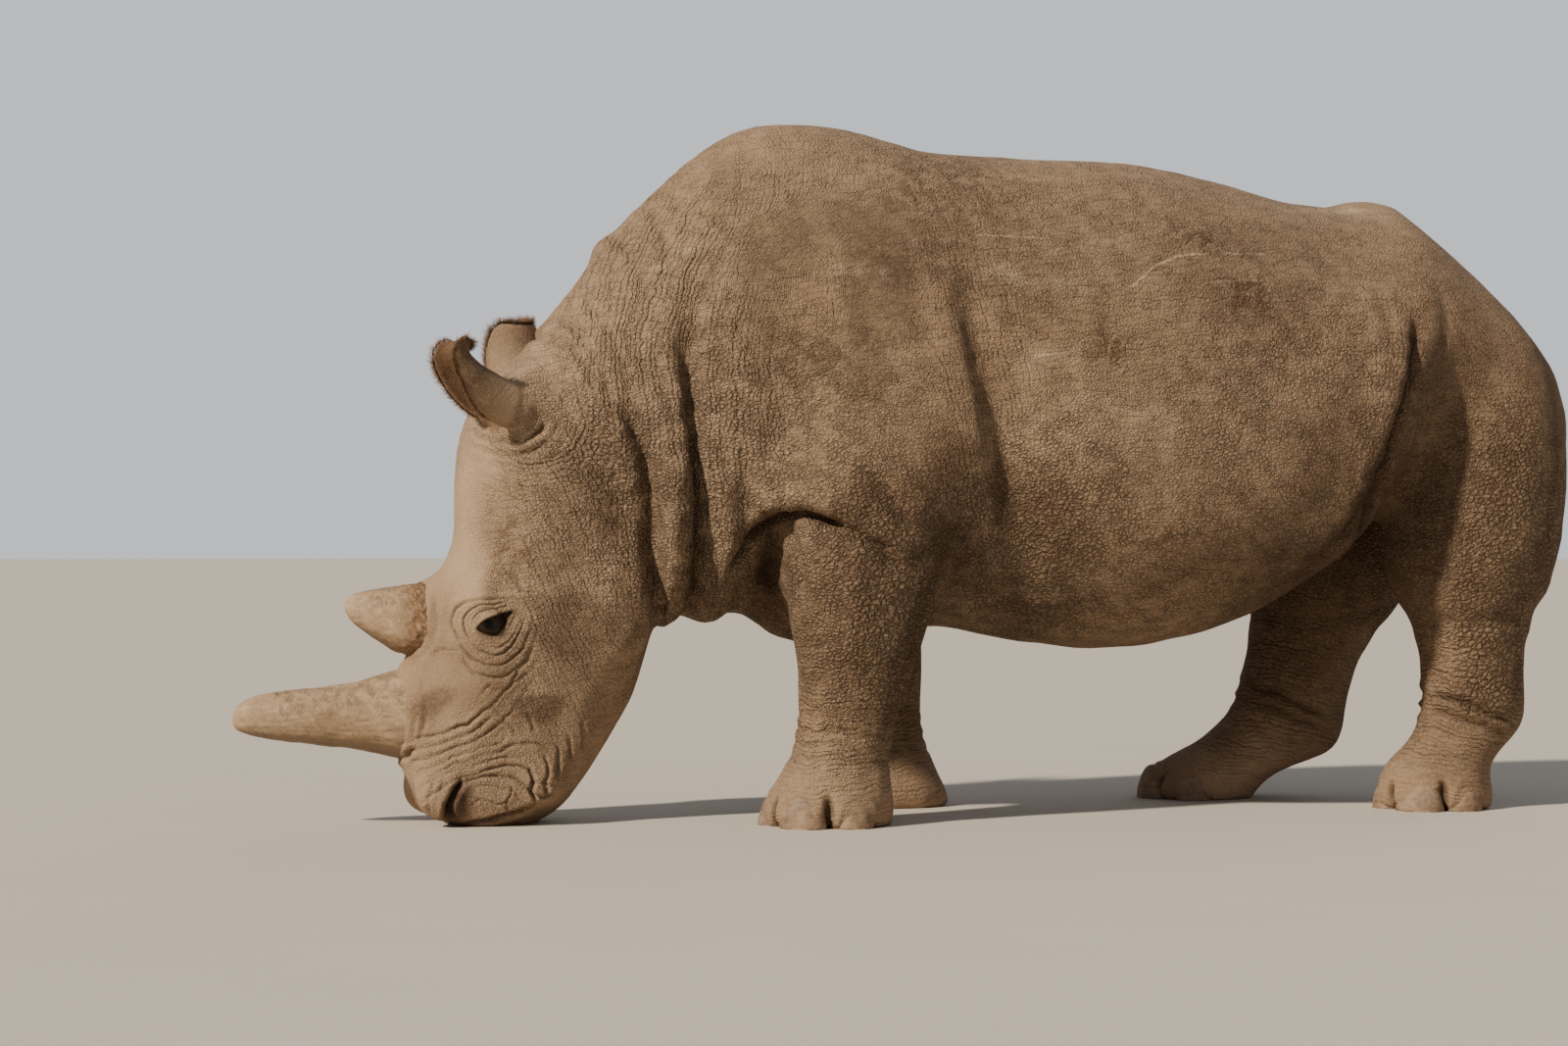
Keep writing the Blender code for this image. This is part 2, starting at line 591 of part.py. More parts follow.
def make_ear(ear, collection, surface):
    """A cupped ear: an open rolled sheet round a curved spine, given a wall."""
    turn = math.radians(ear.heading)
    ahead = Vector((-math.cos(turn), ear.side * math.sin(turn), 0))
    up = Vector((0, 0, 1))
    across = ahead.cross(up)
    point = Vector((ear.root[0], ear.root[1] * ear.side, ear.root[2]))
    first, last = (math.radians(pitch) for pitch in ear.pitches)
    bm = bmesh.new()
    rows = []
    reached = 0.0
    for share, depth, breadth, wrap in EAR_PROFILE:
        midway = first + (last - first) * ((share + reached) / 2) ** EAR_CURL
        along = ahead * math.cos(midway) + up * math.sin(midway)
        point = point + along * ear.length * (share - reached)
        pitch = first + (last - first) * share**EAR_CURL
        opening = ahead * math.sin(pitch) - up * math.cos(pitch)
        reached = share
        row = []
        for column in range(EAR_COLUMNS):
            angle = math.radians(wrap) * (2 * column / (EAR_COLUMNS - 1) - 1)
            out = across * math.sin(angle) * breadth - opening * math.cos(angle) * depth
            row.append(bm.verts.new(point + out))
        rows.append(row)
    for row, following in zip(rows, rows[1:]):
        for column in range(EAR_COLUMNS - 1):
            corners = (row[column], row[column + 1], following[column + 1], following[column])
            bm.faces.new(corners)
    made = object_from_bmesh(bm, ear.name, collection, surface)
    wall = made.modifiers.new("wall", "SOLIDIFY")
    wall.thickness = EAR_WALL
    wall.offset = 0
    return baked(made)


def make_nail(foot, nail, collection, surface):
    """A nail: a rounded plate that wraps the front of a toe and stands on the floor."""
    ahead = math.radians(nail.angle + foot.toes_out)
    out = Vector((-math.cos(ahead), foot.side * math.sin(ahead), 0))
    rim = 1 / math.hypot(out.x / foot.half_length, out.y / foot.half_breadth)
    centre = Vector((foot.x, foot.y, 0)) + out * (rim + nail.reach - NAIL_DEPTH)
    around, down = NAIL_SEGMENTS
    bm = bmesh.new()
    bmesh.ops.create_uvsphere(bm, u_segments=around, v_segments=down, radius=1)
    turn = Matrix.Rotation(math.atan2(out.y, out.x), 4, "Z")
    shape = Matrix.Diagonal((NAIL_DEPTH, nail.half_width, nail.height, 1))
    bm.transform(Matrix.Translation(centre) @ turn @ shape)
    return object_from_bmesh(bm, f"{foot.name}_nail_{nail.name}", collection, surface)


def smooth_shaded(obj):
    """Shades a rounded piece smooth, with its cut edges sharp."""
    obj.data.shade_smooth()
    obj.data.set_sharp_from_angle(angle=math.radians(SHARP_ANGLE))


def main():
    """Builds the whole animal."""
    clear_scene()
    animal = make_collection("white_rhinoceros")
    cutters = make_collection("cutters")
    hide = make_material("hide", HIDE, 0.85)
    horn = make_material("horn", HORN, 0.65)
    nail_surface = make_material("nail", NAIL, 0.6)
    eye_surface = make_material("eye", EYE, 0.08)

    flesh = joined_flesh(cutters)
    floor = box_object(level_region("floor", (-3, 3), (-2, 2), (-1, 0)), 0, cutters)
    cut(flesh, floor, "DIFFERENCE")

    hard = [
        make_horn("horn_front", FRONT_HORN, animal, horn),
        make_horn("horn_rear", REAR_HORN, animal, horn),
        make_eye("eye_left", -1, animal, eye_surface),
        make_eye("eye_right", 1, animal, eye_surface),
    ]
    for foot in FEET:
        nails = [make_nail(foot, nail, animal, nail_surface) for nail in NAILS]
        for made in nails:
            cut(made, floor, "DIFFERENCE")
        hard += nails
    for piece in hard:
        cut(flesh, grown_copy(piece, cutters), "DIFFERENCE")
    drop_loose_bits(flesh)

    for ear in EARS:
        made = make_ear(ear, animal, hide)
        cut(made, grown_copy(flesh, cutters), "DIFFERENCE")
        drop_loose_bits(made)
        smooth_shaded(made)

    for region in REGIONS:
        piece = bpy.data.objects.new(region.name, flesh.data.copy())
        piece.data.materials.append(hide)
        animal.objects.link(piece)
        cut(piece, box_object(region, 0, cutters), "INTERSECT")
        drop_loose_bits(piece)
        smooth_shaded(piece)
        cut(flesh, box_object(region, GAP, cutters), "DIFFERENCE")
        drop_loose_bits(flesh)
    flesh.name = LAST_PIECE
    flesh.hide_render = False
    flesh.data.materials.append(hide)
    cutters.objects.unlink(flesh)
    animal.objects.link(flesh)
    for piece in (*hard, flesh):
        smooth_shaded(piece)


main()
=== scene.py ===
"""White rhinoceros, life size, head lowered to graze: the hide, horns, nails, eyes and hair.

Metres, +Z up. The animal faces -X and its left side, the nearer one, is -Y. One hide stands for all
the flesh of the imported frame. The horns, nails, eyes and hair are pieces of their own.
"""

from __future__ import annotations

import logging
import math
from dataclasses import dataclass, field
from enum import Enum
from itertools import product

import bmesh
import bpy
import numpy as np
from mathutils import Matrix, Vector
from mathutils.bvhtree import BVHTree


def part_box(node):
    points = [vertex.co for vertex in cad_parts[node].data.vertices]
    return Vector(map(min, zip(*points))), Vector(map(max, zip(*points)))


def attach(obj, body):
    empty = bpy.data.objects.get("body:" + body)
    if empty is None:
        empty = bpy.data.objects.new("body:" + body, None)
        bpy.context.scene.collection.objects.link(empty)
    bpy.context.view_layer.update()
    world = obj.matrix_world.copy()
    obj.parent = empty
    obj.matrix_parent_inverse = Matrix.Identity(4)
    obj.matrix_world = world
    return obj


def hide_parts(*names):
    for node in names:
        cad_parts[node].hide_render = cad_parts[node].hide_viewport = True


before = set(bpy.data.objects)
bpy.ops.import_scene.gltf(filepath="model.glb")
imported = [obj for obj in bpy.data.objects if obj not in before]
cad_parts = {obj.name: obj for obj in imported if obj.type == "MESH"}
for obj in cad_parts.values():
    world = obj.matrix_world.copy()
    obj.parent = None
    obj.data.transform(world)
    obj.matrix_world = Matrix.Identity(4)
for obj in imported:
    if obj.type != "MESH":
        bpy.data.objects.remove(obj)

LOG = logging.getLogger("rhinoceros")
BODY = "root"
LEGS = ("fore_left", "fore_right", "hind_left", "hind_right")
LEG_PARTS = ("foot", "lower_leg", "upper_leg")
NAILS = ("middle", "outer", "inner")
Array = np.ndarray
Line = tuple[tuple[float, float], ...]


# ------------------------------------
# Sums on rows of points


def smooth_step(low: float, high: float, values: Array) -> Array:
    """Rises smoothly from 0 at low to 1 at high.

    Args:
        low: Where the rise starts. It may be above high, for a fall.
        high: Where it ends.
        values: The numbers to place on it.

    Returns:
        The share of the rise at each number.
    """
    share = np.clip((values - low) / (high - low), 0.0, 1.0)
    return share * share * (3.0 - 2.0 * share)


def bell(values: Array, width: float) -> Array:
    """A bell curve, 1 at 0 and about a third at the width."""
    return np.exp(-((values / width) ** 2))


@dataclass
class SmoothNoise:
    """Seeded noise that varies smoothly through space, from -1 to 1."""

    seed: int
    table: Array = field(init=False)

    def __post_init__(self) -> None:
        """Draws the table of corner values."""
        self.table = np.random.default_rng(self.seed).uniform(-1, 1, 4096)

    def __call__(self, points: Array, size: float) -> Array:
        """Reads the noise.

        Args:
            points: Rows of x, y, z.
            size: Width of one lump.

        Returns:
            One value for each row.
        """
        cells = points / size
        base = np.floor(cells).astype(np.int64)
        share = cells - base
        share = share * share * (3 - 2 * share)
        total = np.zeros(len(points))
        for corner in product((0, 1), repeat=3):
            key = (base + corner) * (73856093, 19349663, 83492791)
            key = (key[:, 0] ^ key[:, 1] ^ key[:, 2]) & 4095
            weight = np.prod(np.where(corner, share, 1 - share), axis=1)
            total += weight * self.table[key]
        return total


def smooth_line(points: Line, steps: int = 5) -> Array:
    """A line with smoothly placed points added between its own.

    Args:
        points: The line's own points.
        steps: Stretches between two of them.

    Returns:
        Rows of the smooth line.
    """
    rows = np.array(points, float)
    padded = np.vstack([2 * rows[0] - rows[1], rows, 2 * rows[-1] - rows[-2]])
    made = []
    for before, start, end, after in zip(padded, padded[1:], padded[2:], padded[3:]):
        for share in np.arange(steps) / steps:
            bend = (2 * before - 5 * start + 4 * end - after) * share**2
            twist = (3 * start - before - 3 * end + after) * share**3
            made.append(0.5 * (2 * start + (end - before) * share + bend + twist))
    made.append(rows[-1])
    return np.array(made)


# ------------------------------------
# Meshes


def points_of(mesh: bpy.types.Mesh) -> Array:
    """A mesh's vertices as rows."""
    flat = np.empty(len(mesh.vertices) * 3)
    mesh.vertices.foreach_get("co", flat)
    return flat.reshape(-1, 3)


def set_points(mesh: bpy.types.Mesh, points: Array) -> None:
    """Moves a mesh's vertices."""
    mesh.vertices.foreach_set("co", points.astype(np.float32).ravel())
    mesh.update()


def normals_of(mesh: bpy.types.Mesh) -> Array:
    """The way out at each vertex of a mesh."""
    flat = np.empty(len(mesh.vertices) * 3, np.float32)
    mesh.vertex_normals.foreach_get("vector", flat)
    return flat.reshape(-1, 3).astype(float)


def keep_values(mesh: bpy.types.Mesh, **values: Array) -> None:
    """Keeps numbers at each vertex, by name, for a material to read."""
    for name, numbers in values.items():
        made = mesh.attributes.new(name, "FLOAT", "POINT")
        made.data.foreach_set("value", numbers.astype(np.float32))


def node_copy(name: str) -> bmesh.types.BMesh:
    """A CAD node's mesh as a bmesh, its loose triangles merged."""
    bm = bmesh.new()
    bm.from_mesh(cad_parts[name].data)
    bmesh.ops.remove_doubles(bm, verts=bm.verts, dist=1e-5)
    return bm


def grown(bm: bmesh.types.BMesh, by: float) -> bmesh.types.BMesh:
    """Moves a closed mesh's skin out, or in where by is below 0."""
    bm.normal_update()
    moves = [(vert, vert.normal * by) for vert in bm.verts]
    for vert, move in moves:
        vert.co += move
    return bm


def squared(bm: bmesh.types.BMesh, bend: float) -> bmesh.types.BMesh:
    """Joins pairs of triangles that bend by fewer degrees than given into four-sided faces."""
    bmesh.ops.join_triangles(
        bm, faces=bm.faces, angle_face_threshold=math.radians(bend), angle_shape_threshold=math.radians(60)
    )
    return bm


def join(bm: bmesh.types.BMesh, part: bmesh.types.BMesh, copies: int = 1) -> None:
    """Adds copies of one bmesh to another, and frees it."""
    mesh = bpy.data.meshes.new("part")
    part.to_mesh(mesh)
    part.free()
    for _ in range(copies):
        bm.from_mesh(mesh)
    bpy.data.meshes.remove(mesh)


def object_of(name: str, bm: bmesh.types.BMesh) -> bpy.types.Object:
    """Makes a scene object of a bmesh, at the origin."""
    mesh = bpy.data.meshes.new(name)
    bm.to_mesh(mesh)
    bm.free()
    made = bpy.data.objects.new(name, mesh)
    bpy.context.scene.collection.objects.link(made)
    return made


def with_modifier(obj: bpy.types.Object, kind: str, **settings: object) -> bpy.types.Object:
    """Applies one modifier to an object's mesh.

    Args:
        obj: The object.
        kind: The modifier's type.
        **settings: Its settings.

    Returns:
        The same object.
    """
    modifier = obj.modifiers.new(kind.lower(), kind)
    for name, value in settings.items():
        setattr(modifier, name, value)
    graph = bpy.context.evaluated_depsgraph_get()
    mesh = bpy.data.meshes.new_from_object(obj.evaluated_get(graph))
    obj.modifiers.clear()
    old, obj.data = obj.data, mesh
    bpy.data.meshes.remove(old)
    return obj


def relaxed(mesh: bpy.types.Mesh, rounds: int, amount: Array, shrink: float, swell: float) -> None:
    """Smooths a mesh, with a swell after each shrink so that it keeps its size.

    Args:
        mesh: The mesh.
        rounds: Pairs of shrink and swell.
        amount: How much each vertex takes part, from 0 to 1.
        shrink: Share of the way to its neighbours' mean.
        swell: Share of the way back.
    """
    points = points_of(mesh)
    ends = np.empty(len(mesh.edges) * 2, np.int64)
    mesh.edges.foreach_get("vertices", ends)
    ends = ends.reshape(-1, 2)
    first, second = ends[:, 0], ends[:, 1]
    count = np.bincount(ends.ravel(), minlength=len(points))[:, None]
    for step in range(rounds * 2):
        factor = -swell if step % 2 else shrink
        if not factor:
            continue
        total = np.empty_like(points)
        for axis in range(3):
            forward = np.bincount(first, points[second, axis], len(points))
            total[:, axis] = forward + np.bincount(second, points[first, axis], len(points))
        points += factor * amount[:, None] * (total / count - points)
    set_points(mesh, points)


def finished(obj: bpy.types.Object, slot: str, material: bpy.types.Material, *nodes: str) -> None:
    """Shades a piece smooth, gives it its finish and ties it to the frame.

    Args:
        obj: The piece.
        slot: The record's slot that its finish comes from; not used.
        material: The finish.
        *nodes: CAD nodes that it stands for.
    """
    obj.data.shade_smooth()
    obj.data.materials.clear()
    obj.data.materials.append(material)
    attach(obj, BODY)
    if nodes:
        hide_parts(*nodes)
    LOG.info("%s: %d triangles", obj.name, sum(len(p.vertices) - 2 for p in obj.data.polygons))


# ------------------------------------
# Shader arithmetic


class Value:
    """A number on a shader socket that takes part in Python arithmetic."""

    def __init__(self, shader: Shader, socket: bpy.types.NodeSocket) -> None:
        """Wraps a socket of a shader."""
        self.shader = shader
        self.socket = socket

    def _math(self, operation: str, first: object, second: object) -> Value:
        """Adds one Math node."""
        made = self.shader.node("ShaderNodeMath", {"operation": operation}, {0: first, 1: second})
        return Value(self.shader, made.outputs[0])

    def __add__(self, other: object) -> Value:
        """Sum."""
        return self._math("ADD", self, other)

    def __sub__(self, other: object) -> Value:
        """Difference."""
        return self._math("SUBTRACT", self, other)

    def __rsub__(self, other: object) -> Value:
        """Difference from a number."""
        return self._math("SUBTRACT", other, self)

    def __mul__(self, other: object) -> Value:
        """Product."""
        return self._math("MULTIPLY", self, other)

    def __truediv__(self, other: object) -> Value:
        """Quotient."""
        return self._math("DIVIDE", self, other)

    def __pow__(self, other: object) -> Value:
        """Power."""
        return self._math("POWER", self, other)

    __radd__ = __add__
    __rmul__ = __mul__

    def least(self, other: object) -> Value:
        """The smaller of two."""
        return self._math("MINIMUM", self, other)

    def most(self, other: object) -> Value:
        """The larger of two."""
        return self._math("MAXIMUM", self, other)

    def zigzag(self) -> Value:
        """Runs from 0 to 1 and back between whole numbers."""
        return self._math("PINGPONG", self, 0.5) * 2

    def rise(self, low: float, high: float) -> Value:
        """A smooth rise from 0 at low to 1 at high."""
        settings = {"interpolation_type": "SMOOTHSTEP"}
        made = self.shader.node("ShaderNodeMapRange", settings, {0: self, 1: low, 2: high})
        return Value(self.shader, made.outputs[0])


class Shader:
    """One material's node tree, grown by method calls."""

    def __init__(self, name: str, roughness: float, **constants: float) -> None:
        """Starts a material.

        Args:
            name: The material's name.
            roughness: Of its whole surface, unless dressed with another.
            **constants: Other settings of the shader, with _ for spaces.
        """
        self.material = bpy.data.materials.new(name)
        self.material.use_nodes = True
        self.tree = self.material.node_tree
        self.surface = self.tree.nodes["Principled BSDF"]
        self.surface.inputs["Roughness"].default_value = roughness
        for setting, value in constants.items():
            self.surface.inputs[setting.replace("_", " ")].default_value = value
        self.place = self.node("ShaderNodeTexCoord").outputs["Object"]

    def node(
        self, kind: str, settings: dict | None = None, sockets: dict | None = None
    ) -> bpy.types.Node:
        """Adds a node.

        Args:
            kind: The node's type.
            settings: Its settings, set first.
            sockets: Values or links, by socket name or number.

        Returns:
            The node.
        """
        made = self.tree.nodes.new(kind)
        for name, value in (settings or {}).items():
            setattr(made, name, value)
        for name, value in (sockets or {}).items():
            socket = made.inputs[name]
            value = value.socket if isinstance(value, Value) else value
            if isinstance(value, bpy.types.NodeSocket):
                self.tree.links.new(value, socket)
            elif socket.type == "RGBA":
                socket.default_value = (*value, 1.0)
            else:
                socket.default_value = value
        return made

    def vector(self, operation: str, sockets: dict) -> bpy.types.NodeSocket:
        """Arithmetic on coordinates."""
        return self.node("ShaderNodeVectorMath", {"operation": operation}, sockets).outputs[0]

    def attribute(self, name: str) -> Value:
        """A number kept on the mesh."""
        made = self.node("ShaderNodeAttribute", {"attribute_name": name})
        return Value(self, made.outputs["Fac"])

    def noise(self, size: float, detail: float = 3.0, where: object = None, rough: float = 0.5) -> Value:
        """Cloudy noise from 0 to 1, in lumps of a size."""
        sockets = {"Vector": where or self.place, "Scale": 1 / size, "Detail": detail, "Roughness": rough}
        return Value(self, self.node("ShaderNodeTexNoise", None, sockets).outputs["Fac"])

    def cells(self, size: float, where: bpy.types.NodeSocket) -> Value:
        """Distance inwards from the edges of scattered cells, in shares of their size."""
        sockets = {"Vector": where, "Scale": 1 / size}
        made = self.node("ShaderNodeTexVoronoi", {"feature": "DISTANCE_TO_EDGE"}, sockets)
        return Value(self, made.outputs["Distance"])

    def stretched(self, scale: tuple, turn: float = 0.0, where: object = None) -> bpy.types.NodeSocket:
        """Coordinates turned some degrees about Y, then scaled so that a pattern runs long."""
        turned = self.node(
            "ShaderNodeVectorRotate",
            {"rotation_type": "Y_AXIS"},
            {"Vector": where or self.place, "Angle": math.radians(turn)},
        )
        return self.vector("MULTIPLY", {0: turned.outputs[0], 1: scale})

    def warped(self, size: float, by: float, detail: float = 2.0) -> bpy.types.NodeSocket:
        """Coordinates pushed about by noise, so that a pattern isn't regular."""
        sockets = {"Vector": self.place, "Scale": 1 / size, "Detail": detail}
        push = self.node("ShaderNodeTexNoise", None, sockets).outputs["Color"]
        centred = self.vector("SUBTRACT", {0: push, 1: (0.5, 0.5, 0.5)})
        scaled = self.vector("SCALE", {0: centred, "Scale": 2 * by})
        return self.vector("ADD", {0: self.place, 1: scaled})

    def stroke(self, start: tuple, end: tuple, width: float, where: bpy.types.NodeSocket) -> Value:
        """A soft mark from one (x, z) to another, as seen from the side."""
        parts = self.node("ShaderNodeSeparateXYZ", None, {0: where}).outputs
        x, _, z = (Value(self, part) for part in parts)
        x, z, run, lift = x - start[0], z - start[1], end[0] - start[0], end[1] - start[1]
        share = ((x * run + z * lift) / (run**2 + lift**2)).most(0.0).least(1.0)
        beside, above = x - share * run, z - share * lift
        return 1 - ((beside * beside + above * above) ** 0.5 / width).rise(0.3, 1.0)

    def blend(self, first: object, second: object, factor: object) -> bpy.types.NodeSocket:
        """Mixes two colours."""
        settings = {"data_type": "RGBA"}
        return self.node("ShaderNodeMix", settings, {0: factor, 6: first, 7: second}).outputs[2]

    def layered(self, colour: object, *layers: tuple) -> bpy.types.NodeSocket:
        """Lays colours over one, in order, each as (colour, share)."""
        for layer, share in layers:
            colour = self.blend(colour, layer, share)
        return colour

    def dress(self, colour: object, height: Value, roughness: Value | None = None) -> bpy.types.Material:
        """Feeds the shader.

        Args:
            colour: The base colour's socket.
            height: Relief in metres.
            roughness: Where it varies over the surface.

        Returns:
            The finished material.
        """
        self.tree.links.new(colour, self.surface.inputs["Base Color"])
        bump = self.node("ShaderNodeBump", None, {"Strength": 1.0, "Distance": 1.0, "Height": height})
        self.tree.links.new(bump.outputs[0], self.surface.inputs["Normal"])
        if roughness:
            self.tree.links.new(roughness.socket, self.surface.inputs["Roughness"])
        return self.material


# ------------------------------------
# Finishes


@dataclass(frozen=True)
class HideFinish:
    """Dry, wrinkled hide with painted shade in its grooves and dust on its tops, partly a painted
    highlight.

    lump, pebble, cell, crack, furrow and pleat are the widths of its patterns. Each has a depth, and
    all but the pleats have a painted line of shade along their grooves, whose number says how dark it is.
    scratches: Pale marks as (start, end, width, strength), with (x, z) ends.
    """

    # Colours: umber paints shade, groove paints the shade in grooves and folds, and the pale dust colour is
    # dust that also paints light.
    tan: tuple = (0.325, 0.214, 0.129)
    brown: tuple = (0.23, 0.147, 0.089)
    umber: tuple = (0.098, 0.058, 0.033)
    dust_and_light_tint: tuple = (0.46, 0.328, 0.212)
    groove: tuple = (0.04, 0.022, 0.011)
    mud: tuple = (0.125, 0.076, 0.042)
    pale: tuple = (0.56, 0.42, 0.275)
    damp: tuple = (0.1, 0.056, 0.033)
    fur: tuple = (0.135, 0.076, 0.04)
    lump: float = 0.0185
    pebble: float = 0.012
    cell: float = 0.0072
    crack: float = 0.046
    furrow: float = 0.012
    pleat: float = 0.029
    lump_depth: float = 0.0088
    pebble_depth: float = 0.0062
    cell_depth: float = 0.003
    crack_depth: float = 0.0018
    furrow_depth: float = 0.0034
    pleat_depth: float = 0.003
    grain_height: float = 0.0011
    cloud_height: float = 0.002
    clod_height: float = 0.007
    lump_line: float = 0.64
    pebble_line: float = 0.82
    cell_line: float = 0.38
    crack_line: float = 0.26
    furrow_line: float = 0.48
    darkest_line: float = 0.72
    scratches: tuple = (
        ((0.41, 1.275), (0.468, 1.322), 0.005, 0.9),
        ((0.468, 1.322), (0.54, 1.352), 0.005, 1.0),
        ((0.54, 1.352), (0.62, 1.36), 0.004, 0.9),
        ((0.66, 1.36), (0.77, 1.363), 0.004, 0.7),
        ((0.06, 1.397), (0.23, 1.392), 0.0035, 0.7),
        ((0.6, 1.288), (0.745, 1.296), 0.0045, 0.6),
        ((0.16, 1.105), (0.25, 1.116), 0.005, 0.7),
        ((0.31, 0.99), (0.42, 0.96), 0.0035, 0.5),
    )

    def build(self) -> bpy.types.Material:
        """Makes the material."""
        shader = Shader("dusty_hide", 0.88, Specular_IOR_Level=0.22)
        loose = shader.warped(0.022, 0.0026, 2.0)
        wandering = shader.warped(0.07, 0.009, 2.0)
        sway = (shader.noise(0.075, 2.0) - 0.5) * 3.0 + (shader.noise(0.02, 2.0) - 0.5) * 1.2
        vary = shader.noise(0.045, 2.0).rise(0.28, 0.66) * 0.5 + 0.5
        lumpy, pebbled, celled = (shader.attribute(name) for name in ("lumpy", "pebbled", "celled"))

        lumps = shader.cells(self.lump, shader.stretched((1.0, 1.0, 1.3), 0, loose))
        pebbles = shader.cells(self.pebble, shader.stretched((1.0, 1.0, 1.35), 0, loose))
        cells = shader.cells(self.cell, shader.stretched((1.0, 1.0, 1.15), 0, loose))
        cracks = shader.cells(self.crack, shader.stretched((0.55, 1.0, 2.3), 8, wandering))
        plates = cells.rise(-0.02, 0.34)
        relief = (pebbles.rise(-0.02, 0.4) - 1) * pebbled * (vary * self.pebble_depth)
        relief = relief + (lumps.rise(-0.02, 0.36) - 1) * lumpy * self.lump_depth
        relief = relief + (plates - 1) * celled * (vary * self.cell_depth)
        relief = relief + (cracks.rise(0.0, 0.045) - 1) * celled * self.crack_depth
        # Painted shade along the grooves of the patterns.
        lines = (1 - pebbles.rise(0.0, 0.17)) * pebbled * vary * self.pebble_line
        lines = lines + (1 - lumps.rise(0.0, 0.14)) * lumpy * self.lump_line
        lines = lines + (1 - cells.rise(0.0, 0.16)) * celled * vary * self.cell_line
        lines = lines + (1 - cracks.rise(0.0, 0.035)) * celled * vary * self.crack_line
        for name in ("first", "second"):
            phase, lined = shader.attribute(name + "_phase"), shader.attribute(name + "_lined")
            fine = (phase / self.furrow + sway).zigzag()
            broad = (phase / self.pleat + sway * 0.5 + 0.3).zigzag()
            dips = (fine.rise(0.0, 0.6) - 1) * (vary * self.furrow_depth)
            dips = dips + (broad.rise(0.0, 0.34) - 1) * self.pleat_depth
            relief = relief + dips * lined
            # Painted shade in the fine furrows.
            lines = lines + (1 - fine.rise(0.0, 0.26)) * lined * vary * self.furrow_line
        grain = shader.noise(0.004, 3.0, rough=0.7)
        patchy = shader.noise(0.16, 3.0)
        broad = shader.noise(0.55, 3.0)
        caked = shader.noise(0.034, 4.0, rough=0.7).rise(0.49, 0.53)
        mud = shader.attribute("mud") * caked
        clod = mud * shader.noise(0.009, 2.0).rise(0.2, 0.7)
        height = relief + grain * self.grain_height + patchy * self.cloud_height
        height = height + clod * self.clod_height

        # Dust, heaviest on the tops of the plates, where it also paints the light falling on them; some of
        # its ovals are painted light.
        dust = shader.attribute("dust") * (patchy * 0.9 + 0.35).least(1.0) * (plates * 0.7 + 0.3)
        freckle = shader.noise(0.008, 3.0, rough=0.6).rise(0.4, 0.72)
        scraped = shader.attribute("scraped")
        for start, end, width, amount in self.scratches:
            scraped = scraped.most(shader.stroke(start, end, width, loose) * amount)
        scraped = scraped * shader.noise(0.01, 4.0, rough=0.65).rise(0.3, 0.48)
        damp = shader.attribute("damp")
        colour = shader.layered(
            self.brown,
            (self.tan, (patchy * 0.7 + broad * 0.5).rise(0.36, 0.8)),
            # dust, partly painted light
            (self.dust_and_light_tint, dust),
            # painted shade from the shaded ovals and the ears
            (self.umber, shader.attribute("shade")),
            (self.dust_and_light_tint, freckle * 0.28),
            (self.pale, scraped * 0.8),
            (self.damp, damp),
            (self.fur, shader.attribute("furred")),
            # painted shade along the grooves of the patterns
            (self.groove, lines.least(self.darkest_line)),
            (self.mud, mud.least(1.0) * 0.9),
            # painted shade in the folds, round the eyes and in the toe clefts
            (self.groove, shader.attribute("crease") * 0.7),
        )
        return shader.dress(colour, height, 0.92 - damp * 0.5)


@dataclass(frozen=True)
class HornFinish:
    """Packed fibres of horn, stained and scuffed, frayed and reddish round the base,
    with painted shade on its underside, in its nicks and pits and between the frays.
    """

    pale: tuple = (0.48, 0.344, 0.21)
    tan: tuple = (0.345, 0.228, 0.13)
    stain_and_shade: tuple = (0.125, 0.076, 0.043)
    frayed: tuple = (0.2, 0.11, 0.056)
    straw: tuple = (0.4, 0.276, 0.16)

    def build(self) -> bpy.types.Material:
        """Makes the material."""
        shader = Shader("horn", 0.55, Specular_IOR_Level=0.3)
        base, under = shader.attribute("base"), shader.attribute("under")
        loose = shader.warped(0.06, 0.012)
        fibres = shader.noise(0.03, 5.0, shader.stretched((0.22, 2.4, 2.4), 0, loose), 0.62)
        slanted = shader.noise(0.02, 4.0, shader.stretched((0.25, 1.5, 1.5), -52, loose), 0.6)
        frays = shader.noise(0.008, 4.0, shader.stretched((1.0, 1.0, 0.4), 35, loose), 0.65)
        mottle = shader.noise(0.026, 5.0, loose, 0.68)
        broad = shader.noise(0.11, 3.0, loose, 0.6)
        pits = shader.noise(0.006, 3.0, rough=0.7)
        crust = shader.attribute("over") * mottle.rise(0.44, 0.6)
        streaked = (fibres * 0.35 + slanted * 0.45 + broad * 0.2).rise(0.42, 0.62)
        colour = shader.layered(
            self.tan,
            (self.pale, streaked * 0.75),
            (self.stain_and_shade, mottle.rise(0.54, 0.68) * 0.35),
            (self.stain_and_shade, crust * 0.45),
            # painted shade in the pits
            (self.stain_and_shade, pits.rise(0.6, 0.7) * 0.4),
            # painted shade on the faces that look down
            (self.stain_and_shade, under * 0.75),
            (self.pale, shader.attribute("scuff") * frays.rise(0.4, 0.55)),
            (self.frayed, base * mottle.rise(0.2, 0.5) * 0.9),
            (self.straw, base * frays.rise(0.52, 0.64) * 0.75),
            # painted shade between the frays
            (self.stain_and_shade, base * (1 - frays.rise(0.32, 0.48)) * 0.8),
            # painted shade in the nicks
            (self.stain_and_shade, shader.attribute("nick")),
        )
        height = fibres * 0.0018 + slanted * 0.0009 - pits * 0.001 + mottle * 0.0018
        height = height + base * frays * 0.006 + crust * pits * 0.002
        return shader.dress(colour, height, fibres * 0.2 + base * 0.25 + 0.5)


